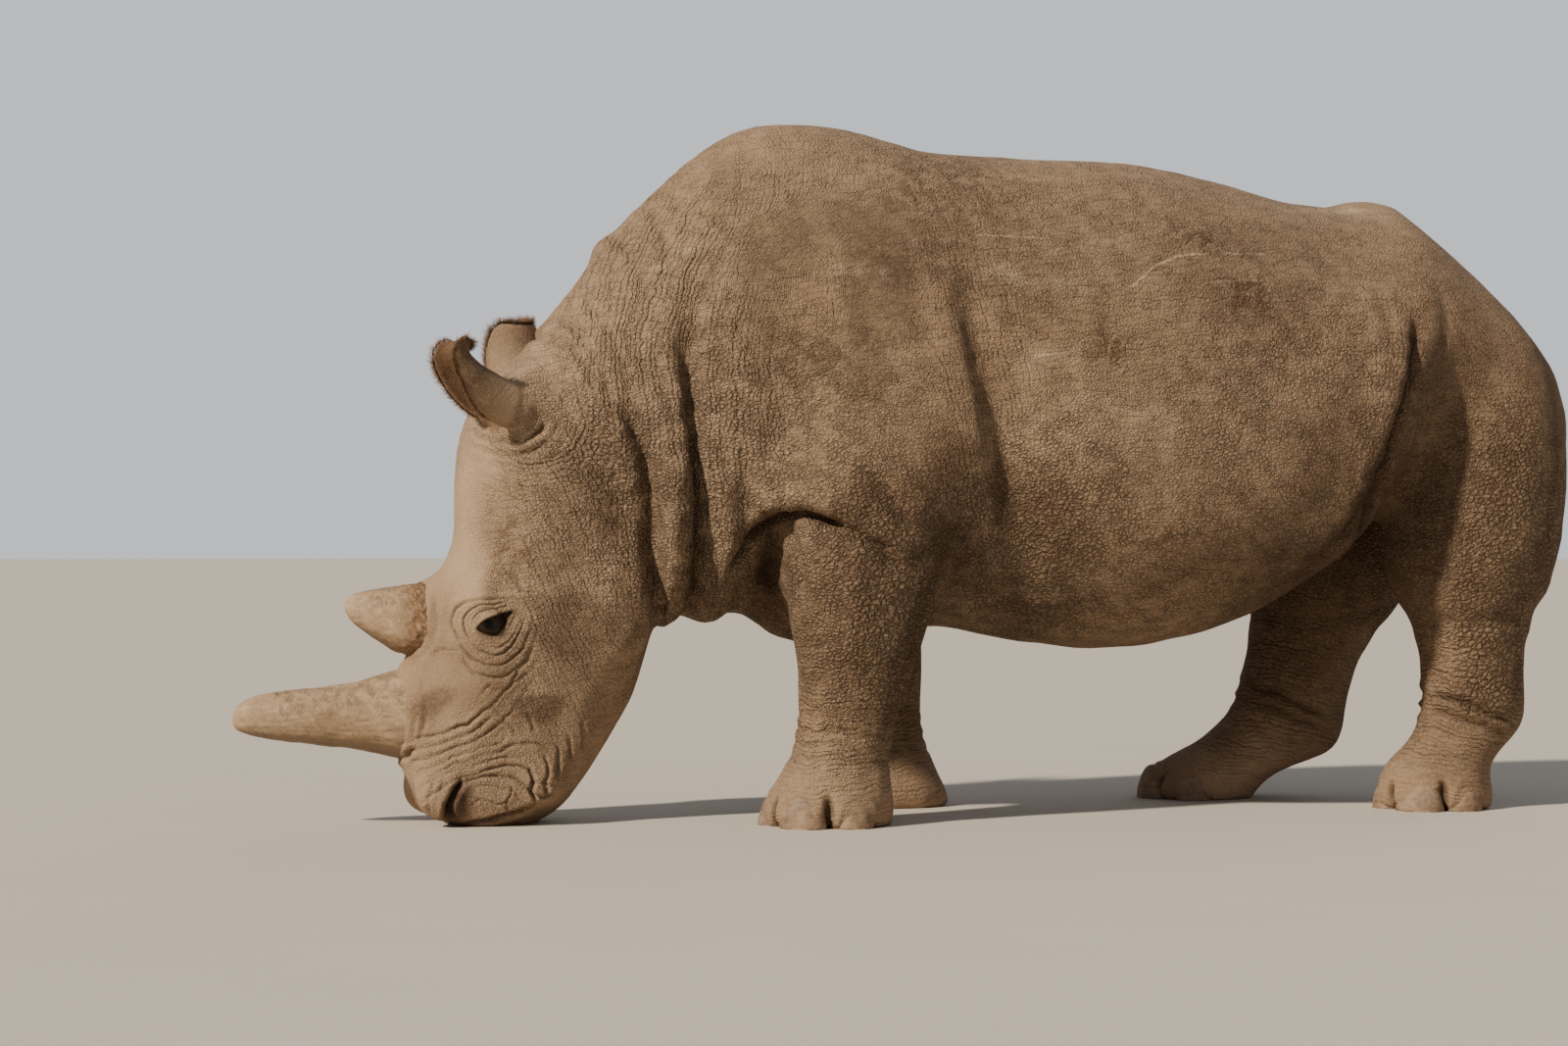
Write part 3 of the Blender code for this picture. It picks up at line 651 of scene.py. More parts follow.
@dataclass(frozen=True)
class NailFinish:
    """Dull horn with faint growth lines, dusted like the hide, with patches of painted, greyish sheen."""

    horn: tuple = (0.25, 0.162, 0.096)
    dark: tuple = (0.145, 0.092, 0.054)
    dust: tuple = (0.35, 0.238, 0.146)
    sheen_grey: tuple = (0.205, 0.172, 0.14)

    def build(self) -> bpy.types.Material:
        """Makes the material."""
        shader = Shader("nail", 0.62, Specular_IOR_Level=0.3)
        lines = shader.noise(0.02, 3.0, shader.stretched((0.5, 0.5, 3.0)), 0.6)
        dust = shader.noise(0.03, 4.0, rough=0.65)
        # Patches of painted sheen, greyish.
        sheen = shader.noise(0.045, 3.0).rise(0.46, 0.62)
        colour = shader.layered(
            self.dark,
            (self.horn, (lines * 0.6 + dust * 0.5).rise(0.38, 0.66)),
            (self.sheen_grey, sheen * 0.4),
            (self.dust, dust.rise(0.42, 0.66) * 0.5),
        )
        height = lines * 0.001 + shader.noise(0.004, 3.0) * 0.0006
        return shader.dress(colour, height, dust * 0.3 + 0.5)


@dataclass(frozen=True)
class EyeFinish:
    """A wet, almost black brown eye."""

    iris: tuple = (0.022, 0.013, 0.008)
    pupil: tuple = (0.002, 0.0015, 0.0015)
    white: tuple = (0.03, 0.019, 0.014)

    def build(self) -> bpy.types.Material:
        """Makes the material."""
        shader = Shader("wet_eye", 0.06, Specular_IOR_Level=0.14, Coat_Weight=0.06, Coat_Roughness=0.02)
        rim = shader.attribute("from_pupil")
        streaks = shader.noise(0.006, 3.0)
        colour = shader.blend(self.pupil, self.iris, (rim + streaks * 0.06).rise(0.18, 0.3))
        colour = shader.blend(colour, self.white, (rim + streaks * 0.08).rise(0.66, 0.8))
        return shader.dress(colour, streaks * 0.00004)


@dataclass(frozen=True)
class HairFinish:
    """Coarse hair, darker at its roots than at its tips."""

    name: str
    root: tuple
    tip: tuple

    def build(self) -> bpy.types.Material:
        """Makes the material."""
        shader = Shader(self.name, 0.62, Specular_IOR_Level=0.3)
        strand = shader.noise(0.004, 2.0)
        share = shader.attribute("tipward") * 0.8 + strand * 0.4
        colour = shader.blend(self.root, self.tip, share.rise(0.1, 0.95))
        return shader.dress(colour, strand * 0.0002)


# ------------------------------------
# Folds, forms and zones of the hide


WAVER = 0.0045  # furthest that a fold strays from its line
NARROW = 0.008  # a fold narrower than this comes and goes along its line


class Side(Enum):
    """Which side of the animal something is on, with the sign of its y."""

    LEFT = -1
    RIGHT = 1


class Limb(Enum):
    """A pair of legs, whose right one stands otherwise than the left: heights and its x shifts."""

    NONE = ((0.0, 1.0), (0.0, 0.0))
    FORE = ((0.0, 0.85), (0.3, 0.0))
    HIND = ((0.04, 0.11, 0.2, 0.35, 0.62, 0.88), (-0.44, -0.31, -0.301, -0.257, -0.116, -0.03))


@dataclass(frozen=True)
class Fold:
    """A groove, or a ridge where depth is below 0, along a line seen from the side.

    line: Its (x, z) points.
    depth: How far the hide sinks on the line.
    width: Distance from the line at which a third of the depth is left.
    lips: How far the hide rises along both edges.
    flap: How far it rises on the line's left only, seen from the left side of the animal.
    flap_width: How far that rise reaches.
    overhang: How far the flap's edge is drawn over the groove.
    dark: How dark the painted shade in the groove is.
    limb: The legs that it is on, so that it stands where each of them does.
    wraps: Whether it also runs over surfaces that don't face sideways.
    tapers: The shares of its length over which it fades at its two ends.
    """

    line: Line
    depth: float
    width: float
    lips: float = 0.0
    flap: float = 0.0
    flap_width: float = 0.05
    overhang: float = 0.0
    dark: float = 0.6
    limb: Limb = Limb.NONE
    wraps: bool = False
    tapers: tuple[float, float] = (0.16, 0.16)

    @property
    def reach(self) -> float:
        """How far from the line the hide still moves."""
        return max(4.5 * self.width, 2.4 * self.flap_width if self.flap else 0.0)

    def nearby(self, points: Array) -> tuple[Array, Array]:
        """Finds the points that the fold may touch.

        Args:
            points: Rows of x, y, z.

        Returns:
            Their row numbers, and their (x, z) as if they were all on the left side.
        """
        shift = np.where(points[:, 1] > 0, np.interp(points[:, 2], *self.limb.value), 0.0)
        flat = np.column_stack([points[:, 0] - shift, points[:, 2]])
        line = np.array(self.line)
        low, high = line.min(0) - self.reach, line.max(0) + self.reach
        rows = np.nonzero(np.all((flat > low) & (flat < high), axis=1))[0]
        return rows, flat[rows]

    def measured(self, flat: Array) -> tuple[Array, Array, Array]:
        """Places points against the line.

        Args:
            flat: Rows of x, z.

        Returns:
            The distance from the line, above 0 on its left; the way from the line to the point; and
            how strong the fold is there, which fades at its ends.
        """
        path = smooth_line(self.line)
        starts, runs = path[:-1], np.diff(path, axis=0)
        lengths = np.hypot(*runs.T)
        offset = flat[:, None, :] - starts
        share = np.clip((offset * runs).sum(2) / lengths**2, 0, 1)
        miss = offset - share[..., None] * runs
        gaps = np.hypot(miss[..., 0], miss[..., 1])
        nearest = gaps.argmin(1)
        row = np.arange(len(flat))
        gap, miss = gaps[row, nearest], miss[row, nearest]
        turn = runs[nearest, 0] * miss[:, 1] - runs[nearest, 1] * miss[:, 0]
        done = np.concatenate([[0], np.cumsum(lengths)])
        travelled = (done[nearest] + share[row, nearest] * lengths[nearest]) / done[-1]
        start, end = self.tapers
        strength = smooth_step(0, start, travelled) * smooth_step(1, 1 - end, travelled)
        way = miss / np.maximum(gap, 1e-9)[:, None]
        return gap * np.where(turn > 0, 1, -1), way, strength

    def facing(self, normals: Array) -> Array:
        """How much of the fold a surface takes."""
        if self.wraps:
            return np.ones(len(normals))
        return smooth_step(0.2, 0.55, np.abs(normals[:, 1]))

    def wavered(self, points: Array, normals: Array, wander: Array) -> tuple[Array, ...]:
        """Places nearby points against the line as it wavers.

        Args:
            points: Rows of x, y, z.
            normals: The way out at each.
            wander: Noise that lets the line waver, and a narrow one come and go.

        Returns:
            The row numbers of the points, and what measured gives for them.
        """
        rows, flat = self.nearby(points)
        if not len(rows):
            return rows, np.zeros(0), flat, np.zeros(0)
        flat = flat + wander[rows, :2] * min(1.5 * self.width, WAVER)
        signed, way, strength = self.measured(flat)
        strength = strength * self.facing(normals[rows])
        if self.width < NARROW:
            strength = strength * np.clip(0.75 + 0.5 * wander[rows, 2], 0.2, 1.2)
        return rows, signed, way, strength

    def press(self, points: Array, normals: Array, wander: Array, moves: Array) -> None:
        """Adds the fold's moves.

        Args:
            points: Rows of x, y, z.
            normals: The way out at each.
            wander: Noise that lets the line waver.
            moves: Rows that the moves are added to.
        """
        rows, signed, way, strength = self.wavered(points, normals, wander)
        if not len(rows):
            return
        gap = np.abs(signed)
        rise = -self.depth * bell(gap, self.width)
        rise += self.lips * bell(gap - 2.3 * self.width, 1.3 * self.width)
        left = smooth_step(0, self.width, signed)
        rise += self.flap * left * bell(signed, self.flap_width)
        moves[rows] += normals[rows] * (rise * strength)[:, None]
        if self.overhang:
            drawn = -self.overhang * left * bell(signed, 2.5 * self.width) * strength
            moves[rows, 0] += way[:, 0] * drawn
            moves[rows, 2] += way[:, 1] * drawn

    def darken(self, points: Array, normals: Array, wander: Array, shade: Array) -> None:
        """Paints shade into the groove, in the array shade, which is changed in place."""
        if self.depth <= 0 or not self.dark:
            return
        rows, signed, _, strength = self.wavered(points, normals, wander)
        shade[rows] = np.maximum(shade[rows], self.dark * strength * bell(signed, 0.8 * self.width))


@dataclass(frozen=True)
class Form:
    """A soft swelling of bone, muscle or fat, or a hollow where rise is below 0, on both sides."""

    centre: tuple[float, float, float]
    radii: tuple[float, float, float]
    rise: float

    def press(self, points: Array, normals: Array, moves: Array) -> None:
        """Adds the form's moves along the normals."""
        mirrored = points.copy()
        mirrored[:, 1] = np.abs(mirrored[:, 1])
        away = (((mirrored - self.centre) / self.radii) ** 2).sum(1)
        moves += normals * (self.rise * np.exp(-away))[:, None]


@dataclass(frozen=True)
class Zone:
    """A soft-edged oval on the side of the animal, from 1 in its middle to 0 outside."""

    centre: tuple[float, float]
    radii: tuple[float, float]
    amount: float = 1.0
    tip: float = 0.0
    soft: float = 0.5

    def at(self, points: Array) -> Array:
        """How strong the zone is at each point."""
        turn = math.radians(self.tip)
        x, z = points[:, 0] - self.centre[0], points[:, 2] - self.centre[1]
        along = (x * math.cos(turn) + z * math.sin(turn)) / self.radii[0]
        across = (z * math.cos(turn) - x * math.sin(turn)) / self.radii[1]
        return self.amount * smooth_step(1 + self.soft, 1 - self.soft, np.hypot(along, across))


def zones_at(zones: tuple[Zone, ...], points: Array) -> Array:
    """The strongest of several zones at each point."""
    return np.max([zone.at(points) for zone in zones], axis=0)


VALLEY = (
    (-0.59, 0.44), (-0.598, 0.5), (-0.608, 0.651), (-0.622, 0.789), (-0.636, 0.949), (-0.64, 1.109),
    (-0.617, 1.219), (-0.574, 1.33), (-0.515, 1.43), (-0.44, 1.54),
)
FLANK = (
    (0.749, 0.5), (0.851, 0.591), (0.952, 0.708), (1.016, 0.838), (1.06, 0.957), (1.093, 1.063),
    (1.122, 1.16), (1.14, 1.24),
)
SHOULDER_REAR = (
    (0.26, 0.52), (0.185, 0.63), (0.115, 0.745), (0.086, 0.835), (0.062, 0.95), (0.026, 1.087),
    (0.0, 1.224), (-0.032, 1.333),
)
NECK_FOLDS = (
    Fold(VALLEY[:8], 0.056, 0.028, 0.0, 0.018, 0.055, 0.006, 0.5, wraps=True, tapers=(0.12, 0.55)),
    Fold(VALLEY[4:10], 0.01, 0.034, dark=0.1, wraps=True, tapers=(0.3, 0.4)),
    Fold(((-0.69, 0.48), (-0.706, 0.628), (-0.721, 0.743), (-0.742, 0.858), (-0.777, 0.961), (-0.8, 1.01)),
         0.024, 0.016, 0.003, dark=0.5, wraps=True),
    Fold(((-0.715, 1.15), (-0.69, 1.0), (-0.675, 0.85), (-0.668, 0.7)), 0.008, 0.012, 0.003, dark=0.25),
    Fold(((-0.672, 0.9), (-0.662, 0.72), (-0.652, 0.6), (-0.645, 0.43)), -0.024, 0.03, dark=0, wraps=True),
    Fold(((-0.56, 0.86), (-0.548, 0.72), (-0.538, 0.6), (-0.528, 0.43)), -0.022, 0.032, dark=0, wraps=True),
    Fold(((-0.512, 0.9), (-0.504, 0.74), (-0.492, 0.62), (-0.47, 0.48)), 0.01, 0.02, dark=0.15, wraps=True),
    Fold(((-0.985, 1.165), (-0.945, 1.15), (-0.905, 1.13), (-0.87, 1.085), (-0.85, 1.02)), 0.009, 0.01,
         0.004, dark=0.35, wraps=True),
    Fold(((-0.925, 1.215), (-0.875, 1.15), (-0.835, 1.06), (-0.815, 0.98)), 0.006, 0.009, 0.003, dark=0.3,
         wraps=True),
    Fold(((-0.87, 1.27), (-0.82, 1.18), (-0.785, 1.08), (-0.77, 0.99)), 0.005, 0.009, 0.003, dark=0.25,
         wraps=True),
    Fold(((-0.76, 1.4), (-0.73, 1.3), (-0.712, 1.2)), 0.005, 0.012, 0.003, dark=0.2, wraps=True),
    Fold(((-0.69, 1.48), (-0.668, 1.38), (-0.655, 1.28)), 0.005, 0.012, 0.003, dark=0.2, wraps=True),
)
SHOULDER_FOLDS = (
    Fold(((-0.525, 0.6), (-0.504, 0.66), (-0.464, 0.712), (-0.414, 0.736), (-0.36, 0.73), (-0.3, 0.7)),
         0.046, 0.02, 0.0, 0.018, 0.045, 0.014, 0.6, limb=Limb.FORE),
    Fold(((-0.39, 0.74), (-0.322, 0.712), (-0.26, 0.68), (-0.2, 0.64), (-0.16, 0.59)), 0.016, 0.019, 0.0,
         0.012, 0.045, dark=0.35, limb=Limb.FORE),
    Fold(((-0.448, 0.76), (-0.436, 0.68), (-0.424, 0.6), (-0.42, 0.54)), 0.05, 0.03, dark=0.9,
         limb=Limb.FORE),
    Fold(SHOULDER_REAR, 0.028, 0.04, dark=0.22, tapers=(0.45, 0.16)),
    Fold(((0.205, 0.49), (0.15, 0.6), (0.11, 0.7), (0.09, 0.86)), 0.008, 0.04, dark=0.1),
    Fold(((-0.05, 1.346), (-0.012, 1.157), (0.008, 0.971), (0.018, 0.847), (0.02, 0.76)), -0.02, 0.045,
         dark=0, tapers=(0.16, 0.4)),
    Fold(((-0.129, 1.36), (-0.119, 1.221), (-0.107, 1.08)), 0.007, 0.022, 0.002, dark=0.2),
    Fold(((-0.25, 1.38), (-0.24, 1.24), (-0.225, 1.1)), 0.005, 0.026, 0.002, dark=0.1),
    Fold(((-0.04, 0.65), (-0.078, 0.559), (-0.104, 0.467), (-0.13, 0.376)), 0.01, 0.014, 0.003, dark=0.4,
         limb=Limb.FORE),
    Fold(((-0.26, 0.85), (-0.22, 0.8), (-0.18, 0.74), (-0.15, 0.68)), 0.006, 0.013, 0.003, dark=0.35),
)
FLANK_FOLDS = (
    Fold(FLANK, 0.044, 0.022, 0.0, 0.014, 0.05, 0.02, 0.7),
    Fold(((0.78, 0.6), (0.9, 0.72), (0.97, 0.85), (1.01, 0.96), (1.045, 1.065), (1.085, 1.17)), -0.012,
         0.04, dark=0),
    Fold(((1.037, 1.306), (1.058, 1.222), (1.05, 1.127), (1.02, 1.03)), 0.0035, 0.012, 0.002, dark=0.15),
    Fold(((1.2, 1.31), (1.232, 1.228), (1.215, 1.12)), 0.0035, 0.016, 0.002, dark=0.1),
    Fold(((1.08, 1.06), (1.058, 0.94), (1.04, 0.83), (1.034, 0.74), (1.04, 0.66), (1.06, 0.59)), 0.034,
         0.026, dark=1.0, tapers=(0.4, 0.1)),
)
LEG_FOLDS = tuple(
    Fold(((-0.48, height + 0.014), (-0.37, height + 0.004), (-0.294, height), (-0.207, height - 0.012),
          (-0.12, height - 0.02)), depth, 0.0085, 0.001, dark=0.25, limb=Limb.FORE, wraps=True)
    for height, depth in ((0.258, 0.0025), (0.224, 0.004), (0.19, 0.003), (0.158, 0.002))
) + (
    Fold(((1.2, 0.304), (1.26, 0.286), (1.324, 0.266), (1.402, 0.23), (1.47, 0.206)), 0.014, 0.01, 0.005,
         dark=0.75, tapers=(0.35, 0.16), limb=Limb.HIND),
    Fold(((1.2, 0.268), (1.254, 0.25), (1.33, 0.226), (1.4, 0.198), (1.46, 0.176)), 0.011, 0.009, 0.004,
         dark=0.6, tapers=(0.35, 0.16), limb=Limb.HIND),
    Fold(((1.1, 0.5), (1.2, 0.475), (1.32, 0.465), (1.45, 0.48), (1.6, 0.52)), 0.005, 0.02, 0.003, dark=0.2,
         limb=Limb.HIND),
)
EYE_FOLDS = (
    Fold(((-1.148, 0.43), (-1.163, 0.447), (-1.172, 0.479), (-1.163, 0.511), (-1.133, 0.53),
         (-1.092, 0.536), (-1.046, 0.538), (-1.01, 0.531)), 0.005, 0.003, 0.0018, dark=0.8),
    Fold(((-1.128, 0.432), (-1.141, 0.45), (-1.149, 0.47), (-1.144, 0.497), (-1.12, 0.515), (-1.082, 0.524),
         (-1.04, 0.53)), 0.004, 0.0026, 0.0014, dark=0.75),
    Fold(((-1.132, 0.47), (-1.126, 0.489), (-1.106, 0.503), (-1.078, 0.512), (-1.04, 0.522)), 0.0026,
         0.0022, 0.001, dark=0.4),
    Fold(((-1.137, 0.44), (-1.115, 0.419), (-1.078, 0.405), (-1.05, 0.415), (-1.026, 0.448),
         (-1.008, 0.505)), 0.0048, 0.0028, 0.0018, dark=0.8),
    Fold(((-1.095, 0.428), (-1.07, 0.422), (-1.046, 0.436), (-1.026, 0.47), (-1.016, 0.51)), 0.003, 0.0024,
         0.0012, dark=0.55),
    Fold(((-1.16, 0.446), (-1.152, 0.424), (-1.129, 0.396), (-1.092, 0.381), (-1.05, 0.386), (-1.014, 0.42),
         (-0.996, 0.466), (-0.99, 0.515)), 0.0048, 0.003, 0.0018, dark=0.8),
    Fold(((-1.14, 0.375), (-1.112, 0.358), (-1.073, 0.349), (-1.036, 0.36), (-1.002, 0.396), (-0.982, 0.44),
         (-0.976, 0.5)), 0.0045, 0.0034, 0.0018, dark=0.7),
    Fold(((-1.1, 0.33), (-1.06, 0.322), (-1.022, 0.338), (-0.99, 0.372), (-0.966, 0.42)), 0.0035, 0.0034,
         0.0015, dark=0.5),
    Fold(((-1.23, 0.4), (-1.207, 0.41), (-1.175, 0.417), (-1.15, 0.414)), 0.0028, 0.0026, 0.001, dark=0.6),
    Fold(((-1.042, 0.64), (-1.036, 0.615), (-1.031, 0.583), (-1.02, 0.548)), 0.007, 0.0036, 0.0015,
         dark=0.9),
    Fold(((-1.15, 0.41), (-1.146, 0.388), (-1.128, 0.366), (-1.118, 0.35)), 0.003, 0.0028, 0.001,
         dark=0.55),
    Fold(((-1.115, 0.3), (-1.098, 0.325), (-1.08, 0.335)), 0.003, 0.0028, 0.001, dark=0.45),
)
MUZZLE_FOLDS = (
    Fold(((-1.3, 0.185), (-1.26, 0.203), (-1.203, 0.216), (-1.145, 0.24), (-1.099, 0.272), (-1.055, 0.312),
         (-1.02, 0.36), (-0.995, 0.42)), 0.0066, 0.0036, 0.0025, dark=0.8),
    Fold(((-1.298, 0.166), (-1.253, 0.18), (-1.198, 0.197), (-1.15, 0.214), (-1.105, 0.24),
         (-1.066, 0.276)), 0.0045, 0.003, 0.0016, dark=0.7),
    Fold(((-1.285, 0.145), (-1.243, 0.16), (-1.191, 0.181), (-1.122, 0.205), (-1.07, 0.24), (-1.025, 0.29)),
         0.0055, 0.0032, 0.0018, dark=0.75),
    Fold(((-1.27, 0.118), (-1.222, 0.146), (-1.16, 0.17), (-1.1, 0.188), (-1.04, 0.206)), 0.004, 0.0028,
         0.0016, dark=0.6),
    Fold(((-1.25, 0.104), (-1.205, 0.134), (-1.14, 0.158), (-1.07, 0.178), (-1.018, 0.196), (-0.966, 0.19),
         (-0.935, 0.156)), 0.0055, 0.0034, 0.002, dark=0.7),
    Fold(((-1.262, 0.076), (-1.225, 0.112), (-1.17, 0.138), (-1.11, 0.154), (-1.045, 0.166), (-0.99, 0.16)),
         0.0045, 0.003, 0.0018, dark=0.65),
    Fold(((-1.255, 0.048), (-1.222, 0.086), (-1.17, 0.114), (-1.11, 0.134), (-1.05, 0.144), (-1.0, 0.136),
         (-0.966, 0.108)), 0.006, 0.0034, 0.002, dark=0.75),
    Fold(((-1.09, 0.3), (-1.06, 0.262), (-1.035, 0.24), (-1.022, 0.205)), 0.0035, 0.0032, 0.0014, dark=0.5),
    Fold(((-1.05, 0.26), (-1.012, 0.3), (-0.985, 0.35)), 0.0035, 0.0034, 0.0014, dark=0.45),
    Fold(((-1.01, 0.28), (-0.99, 0.25), (-0.978, 0.215)), 0.0035, 0.0036, 0.0014, dark=0.45),
    Fold(((-1.16, 0.104), (-1.118, 0.122), (-1.068, 0.122), (-1.022, 0.11), (-0.992, 0.08), (-0.98, 0.048)),
         0.008, 0.0046, 0.0025, dark=0.7),
    Fold(((-1.13, 0.094), (-1.085, 0.098), (-1.04, 0.088), (-1.012, 0.062)), 0.0036, 0.003, 0.0016,
         dark=0.5),
    Fold(((-1.14, 0.05), (-1.105, 0.066), (-1.07, 0.056), (-1.035, 0.064)), 0.0028, 0.0028, 0.0014,
         dark=0.4),
    Fold(((-1.048, 0.118), (-1.04, 0.086), (-1.05, 0.056), (-1.036, 0.034)), 0.0036, 0.003, 0.0016,
         dark=0.5),
    Fold(((-1.15, 0.006), (-1.12, 0.012), (-1.086, 0.02), (-1.044, 0.028), (-1.0, 0.04), (-0.96, 0.056)),
         0.015, 0.0046, 0.003, dark=0.95),
    Fold(((-1.0, 0.14), (-0.984, 0.112), (-0.99, 0.082), (-0.98, 0.052)), 0.011, 0.0044, 0.0045, dark=0.8),
    Fold(((-0.962, 0.172), (-0.95, 0.135), (-0.958, 0.1), (-0.952, 0.064)), 0.01, 0.0042, 0.0045, dark=0.8),
    Fold(((-0.93, 0.196), (-0.92, 0.155), (-0.926, 0.115), (-0.92, 0.09)), 0.006, 0.004, 0.0025, dark=0.6),
    Fold(((-0.9, 0.225), (-0.89, 0.185), (-0.892, 0.145)), 0.005, 0.004, 0.0025, dark=0.55),
    Fold(((-0.868, 0.245), (-0.858, 0.205), (-0.86, 0.17)), 0.004, 0.0042, 0.002, dark=0.45),
    Fold(((-0.995, 0.098), (-0.972, 0.104), (-0.945, 0.094), (-0.922, 0.1)), 0.005, 0.0036, 0.0025,
         dark=0.65),
    Fold(((-0.985, 0.074), (-0.96, 0.066), (-0.935, 0.076)), 0.0045, 0.0034, 0.0025, dark=0.6),
    Fold(((-0.965, 0.14), (-0.945, 0.128), (-0.925, 0.134)), 0.0035, 0.0034, 0.002, dark=0.5),
    Fold(((-1.146, 0.118), (-1.167, 0.094), (-1.182, 0.067), (-1.184, 0.038), (-1.172, 0.012)), 0.03, 0.007,
         0.005, dark=1.0),
    Fold(((-1.214, 0.118), (-1.23, 0.085), (-1.232, 0.05), (-1.216, 0.018)), 0.005, 0.0036, 0.0022,
         dark=0.6),
    Fold(((-1.238, 0.11), (-1.256, 0.078), (-1.254, 0.044)), 0.004, 0.0034, 0.002, dark=0.5),
)
HORN_FOLDS = (
    Fold(((-1.318, 0.128), (-1.296, 0.144), (-1.268, 0.17), (-1.252, 0.196)), 0.011, 0.0055, 0.003,
         dark=0.9, wraps=True),
    Fold(((-1.252, 0.196), (-1.236, 0.24), (-1.232, 0.29), (-1.242, 0.35)), 0.0028, 0.005, 0.002, dark=0.2),
    Fold(((-1.28, 0.16), (-1.264, 0.2), (-1.258, 0.26)), 0.0028, 0.004, 0.002, dark=0.4),
    Fold(((-1.27, 0.385), (-1.235, 0.405), (-1.212, 0.445), (-1.205, 0.5), (-1.215, 0.555)), 0.0045, 0.006,
         0.003, dark=0.35, wraps=True),
)
EAR_FOLDS = (
    Fold(((-1.125, 0.945), (-1.098, 0.915), (-1.06, 0.9), (-1.015, 0.902), (-0.978, 0.925), (-0.962, 0.96)),
         0.011, 0.006, 0.003, dark=0.85, wraps=True),
    Fold(((-1.15, 0.935), (-1.11, 0.892), (-1.055, 0.87), (-0.99, 0.88), (-0.945, 0.92), (-0.925, 0.98)),
         0.005, 0.005, 0.002, dark=0.5),
    Fold(((-1.155, 0.89), (-1.1, 0.855), (-1.03, 0.842), (-0.955, 0.86), (-0.905, 0.925)), 0.0035, 0.005,
         0.002, dark=0.35),
)
FORMS = (
    Form((-0.975, 0.18, 0.65), (0.075, 0.06, 0.055), 0.017),  # cheek bone
    Form((-1.004, 0.165, 0.672), (0.03, 0.05, 0.028), 0.01),  # point of the cheek bone
    Form((-1.055, 0.165, 0.6), (0.038, 0.05, 0.085), -0.012),  # groove between brow and cheek bone
    Form((-1.11, 0.15, 0.575), (0.04, 0.05, 0.045), 0.009),  # brow
    Form((-1.09, 0.14, 0.74), (0.045, 0.06, 0.11), -0.01),  # temple
    Form((-0.9, 0.2, 0.8), (0.1, 0.08, 0.1), 0.006),  # root of the jaw muscle
    Form((-1.0, 0.15, 0.33), (0.06, 0.06, 0.09), -0.008),  # hollow behind the bags
    Form((-0.925, 0.16, 0.25), (0.06, 0.06, 0.05), -0.006),  # hollow of the cheek
    Form((-1.15, 0.14, 0.33), (0.06, 0.06, 0.06), 0.006),  # bridge
    Form((-1.075, 0.13, 0.07), (0.065, 0.05, 0.045), 0.008),  # lip pad
    Form((-1.215, 0.11, 0.07), (0.03, 0.06, 0.045), 0.008),  # nostril wing
    Form((-0.955, 0.11, 0.1), (0.04, 0.05, 0.05), 0.006),  # corner of the mouth
    Form((-0.945, 0.11, 0.01), (0.07, 0.07, 0.045), -0.02),  # underside of the chin
    Form((-0.83, 0.19, 0.5), (0.11, 0.08, 0.18), 0.008),  # jaw muscle
    Form((-0.11, 0.4, 1.26), (0.06, 0.15, 0.3), 0.01),  # shoulder blade
    Form((-0.3, 0.36, 1.0), (0.13, 0.15, 0.22), 0.01),  # shoulder
    Form((-0.34, 0.38, 0.8), (0.12, 0.15, 0.06), 0.014),  # roll over the fore leg
    Form((0.125, 0.43, 0.9), (0.06, 0.15, 0.35), -0.012),  # hollow behind the shoulder
    Form((0.28, 0.48, 0.85), (0.11, 0.2, 0.3), 0.006),  # fore ribs
    Form((1.165, 0.33, 1.24), (0.06, 0.12, 0.08), 0.016),  # point of the hip
    Form((0.98, 0.4, 1.38), (0.15, 0.2, 0.08), -0.012),  # hollow ahead of the hip
    Form((1.38, 0.33, 0.76), (0.1, 0.12, 0.22), 0.008),  # thigh
    Form((1.2, 0.36, 0.85), (0.09, 0.12, 0.26), -0.016),  # hollow of the thigh
    Form((1.045, 0.33, 0.64), (0.07, 0.14, 0.14), 0.026),  # front of the thigh
    Form((-0.04, 0.27, 0.68), (0.08, 0.12, 0.12), 0.024),  # point of the elbow
    Form((-0.775, 0.0, 0.33), (0.1, 0.22, 0.16), 0.016),  # back of the jaw
)
LUMPY = (
    Zone((-0.15, 0.48), (0.13, 0.3), 1.0, 15),
    Zone((0.2, 0.6), (0.1, 0.2), 0.7, 10),
    Zone((1.44, 0.6), (0.16, 0.32), 0.8),
    Zone((1.42, 0.4), (0.12, 0.16), 0.9),
    Zone((-0.8, 0.86), (0.1, 0.15), 0.7),
)
PEBBLED = (
    Zone((-0.22, 0.56), (0.24, 0.34)),
    Zone((-0.6, 0.78), (0.24, 0.42), 0.9),
    Zone((-0.4, 0.9), (0.26, 0.3), 0.6),
    Zone((1.42, 0.68), (0.26, 0.38), 0.9),
    Zone((0.2, 0.66), (0.26, 0.32)),
    Zone((0.6, 0.6), (0.5, 0.22), 0.7),
    Zone((-0.8, 0.8), (0.14, 0.3), 0.55),
    Zone((-1.08, 0.15), (0.19, 0.15), 0.22),
    Zone((0.82, 0.92), (0.4, 0.36), 0.65),
    Zone((0.4, 1.0), (1.3, 0.9), 0.22),
)
CELLED = (
    Zone((0.1, 0.9), (1.6, 1.0)),
    Zone((-0.95, 0.7), (0.36, 0.52)),
    Zone((-0.98, 0.16), (0.3, 0.26), 0.55),
)
BARE = (
    Zone((-1.19, 0.7), (0.13, 0.34), 0.8),
    Zone((-1.2, 0.33), (0.13, 0.12), 0.8),
    Zone((-0.34, 0.05), (0.26, 0.07), 0.5),
    Zone((0.02, 0.05), (0.22, 0.07), 0.5),
    Zone((1.28, 0.05), (0.26, 0.07), 0.5),
    Zone((0.82, 0.05), (0.26, 0.07), 0.5),
)
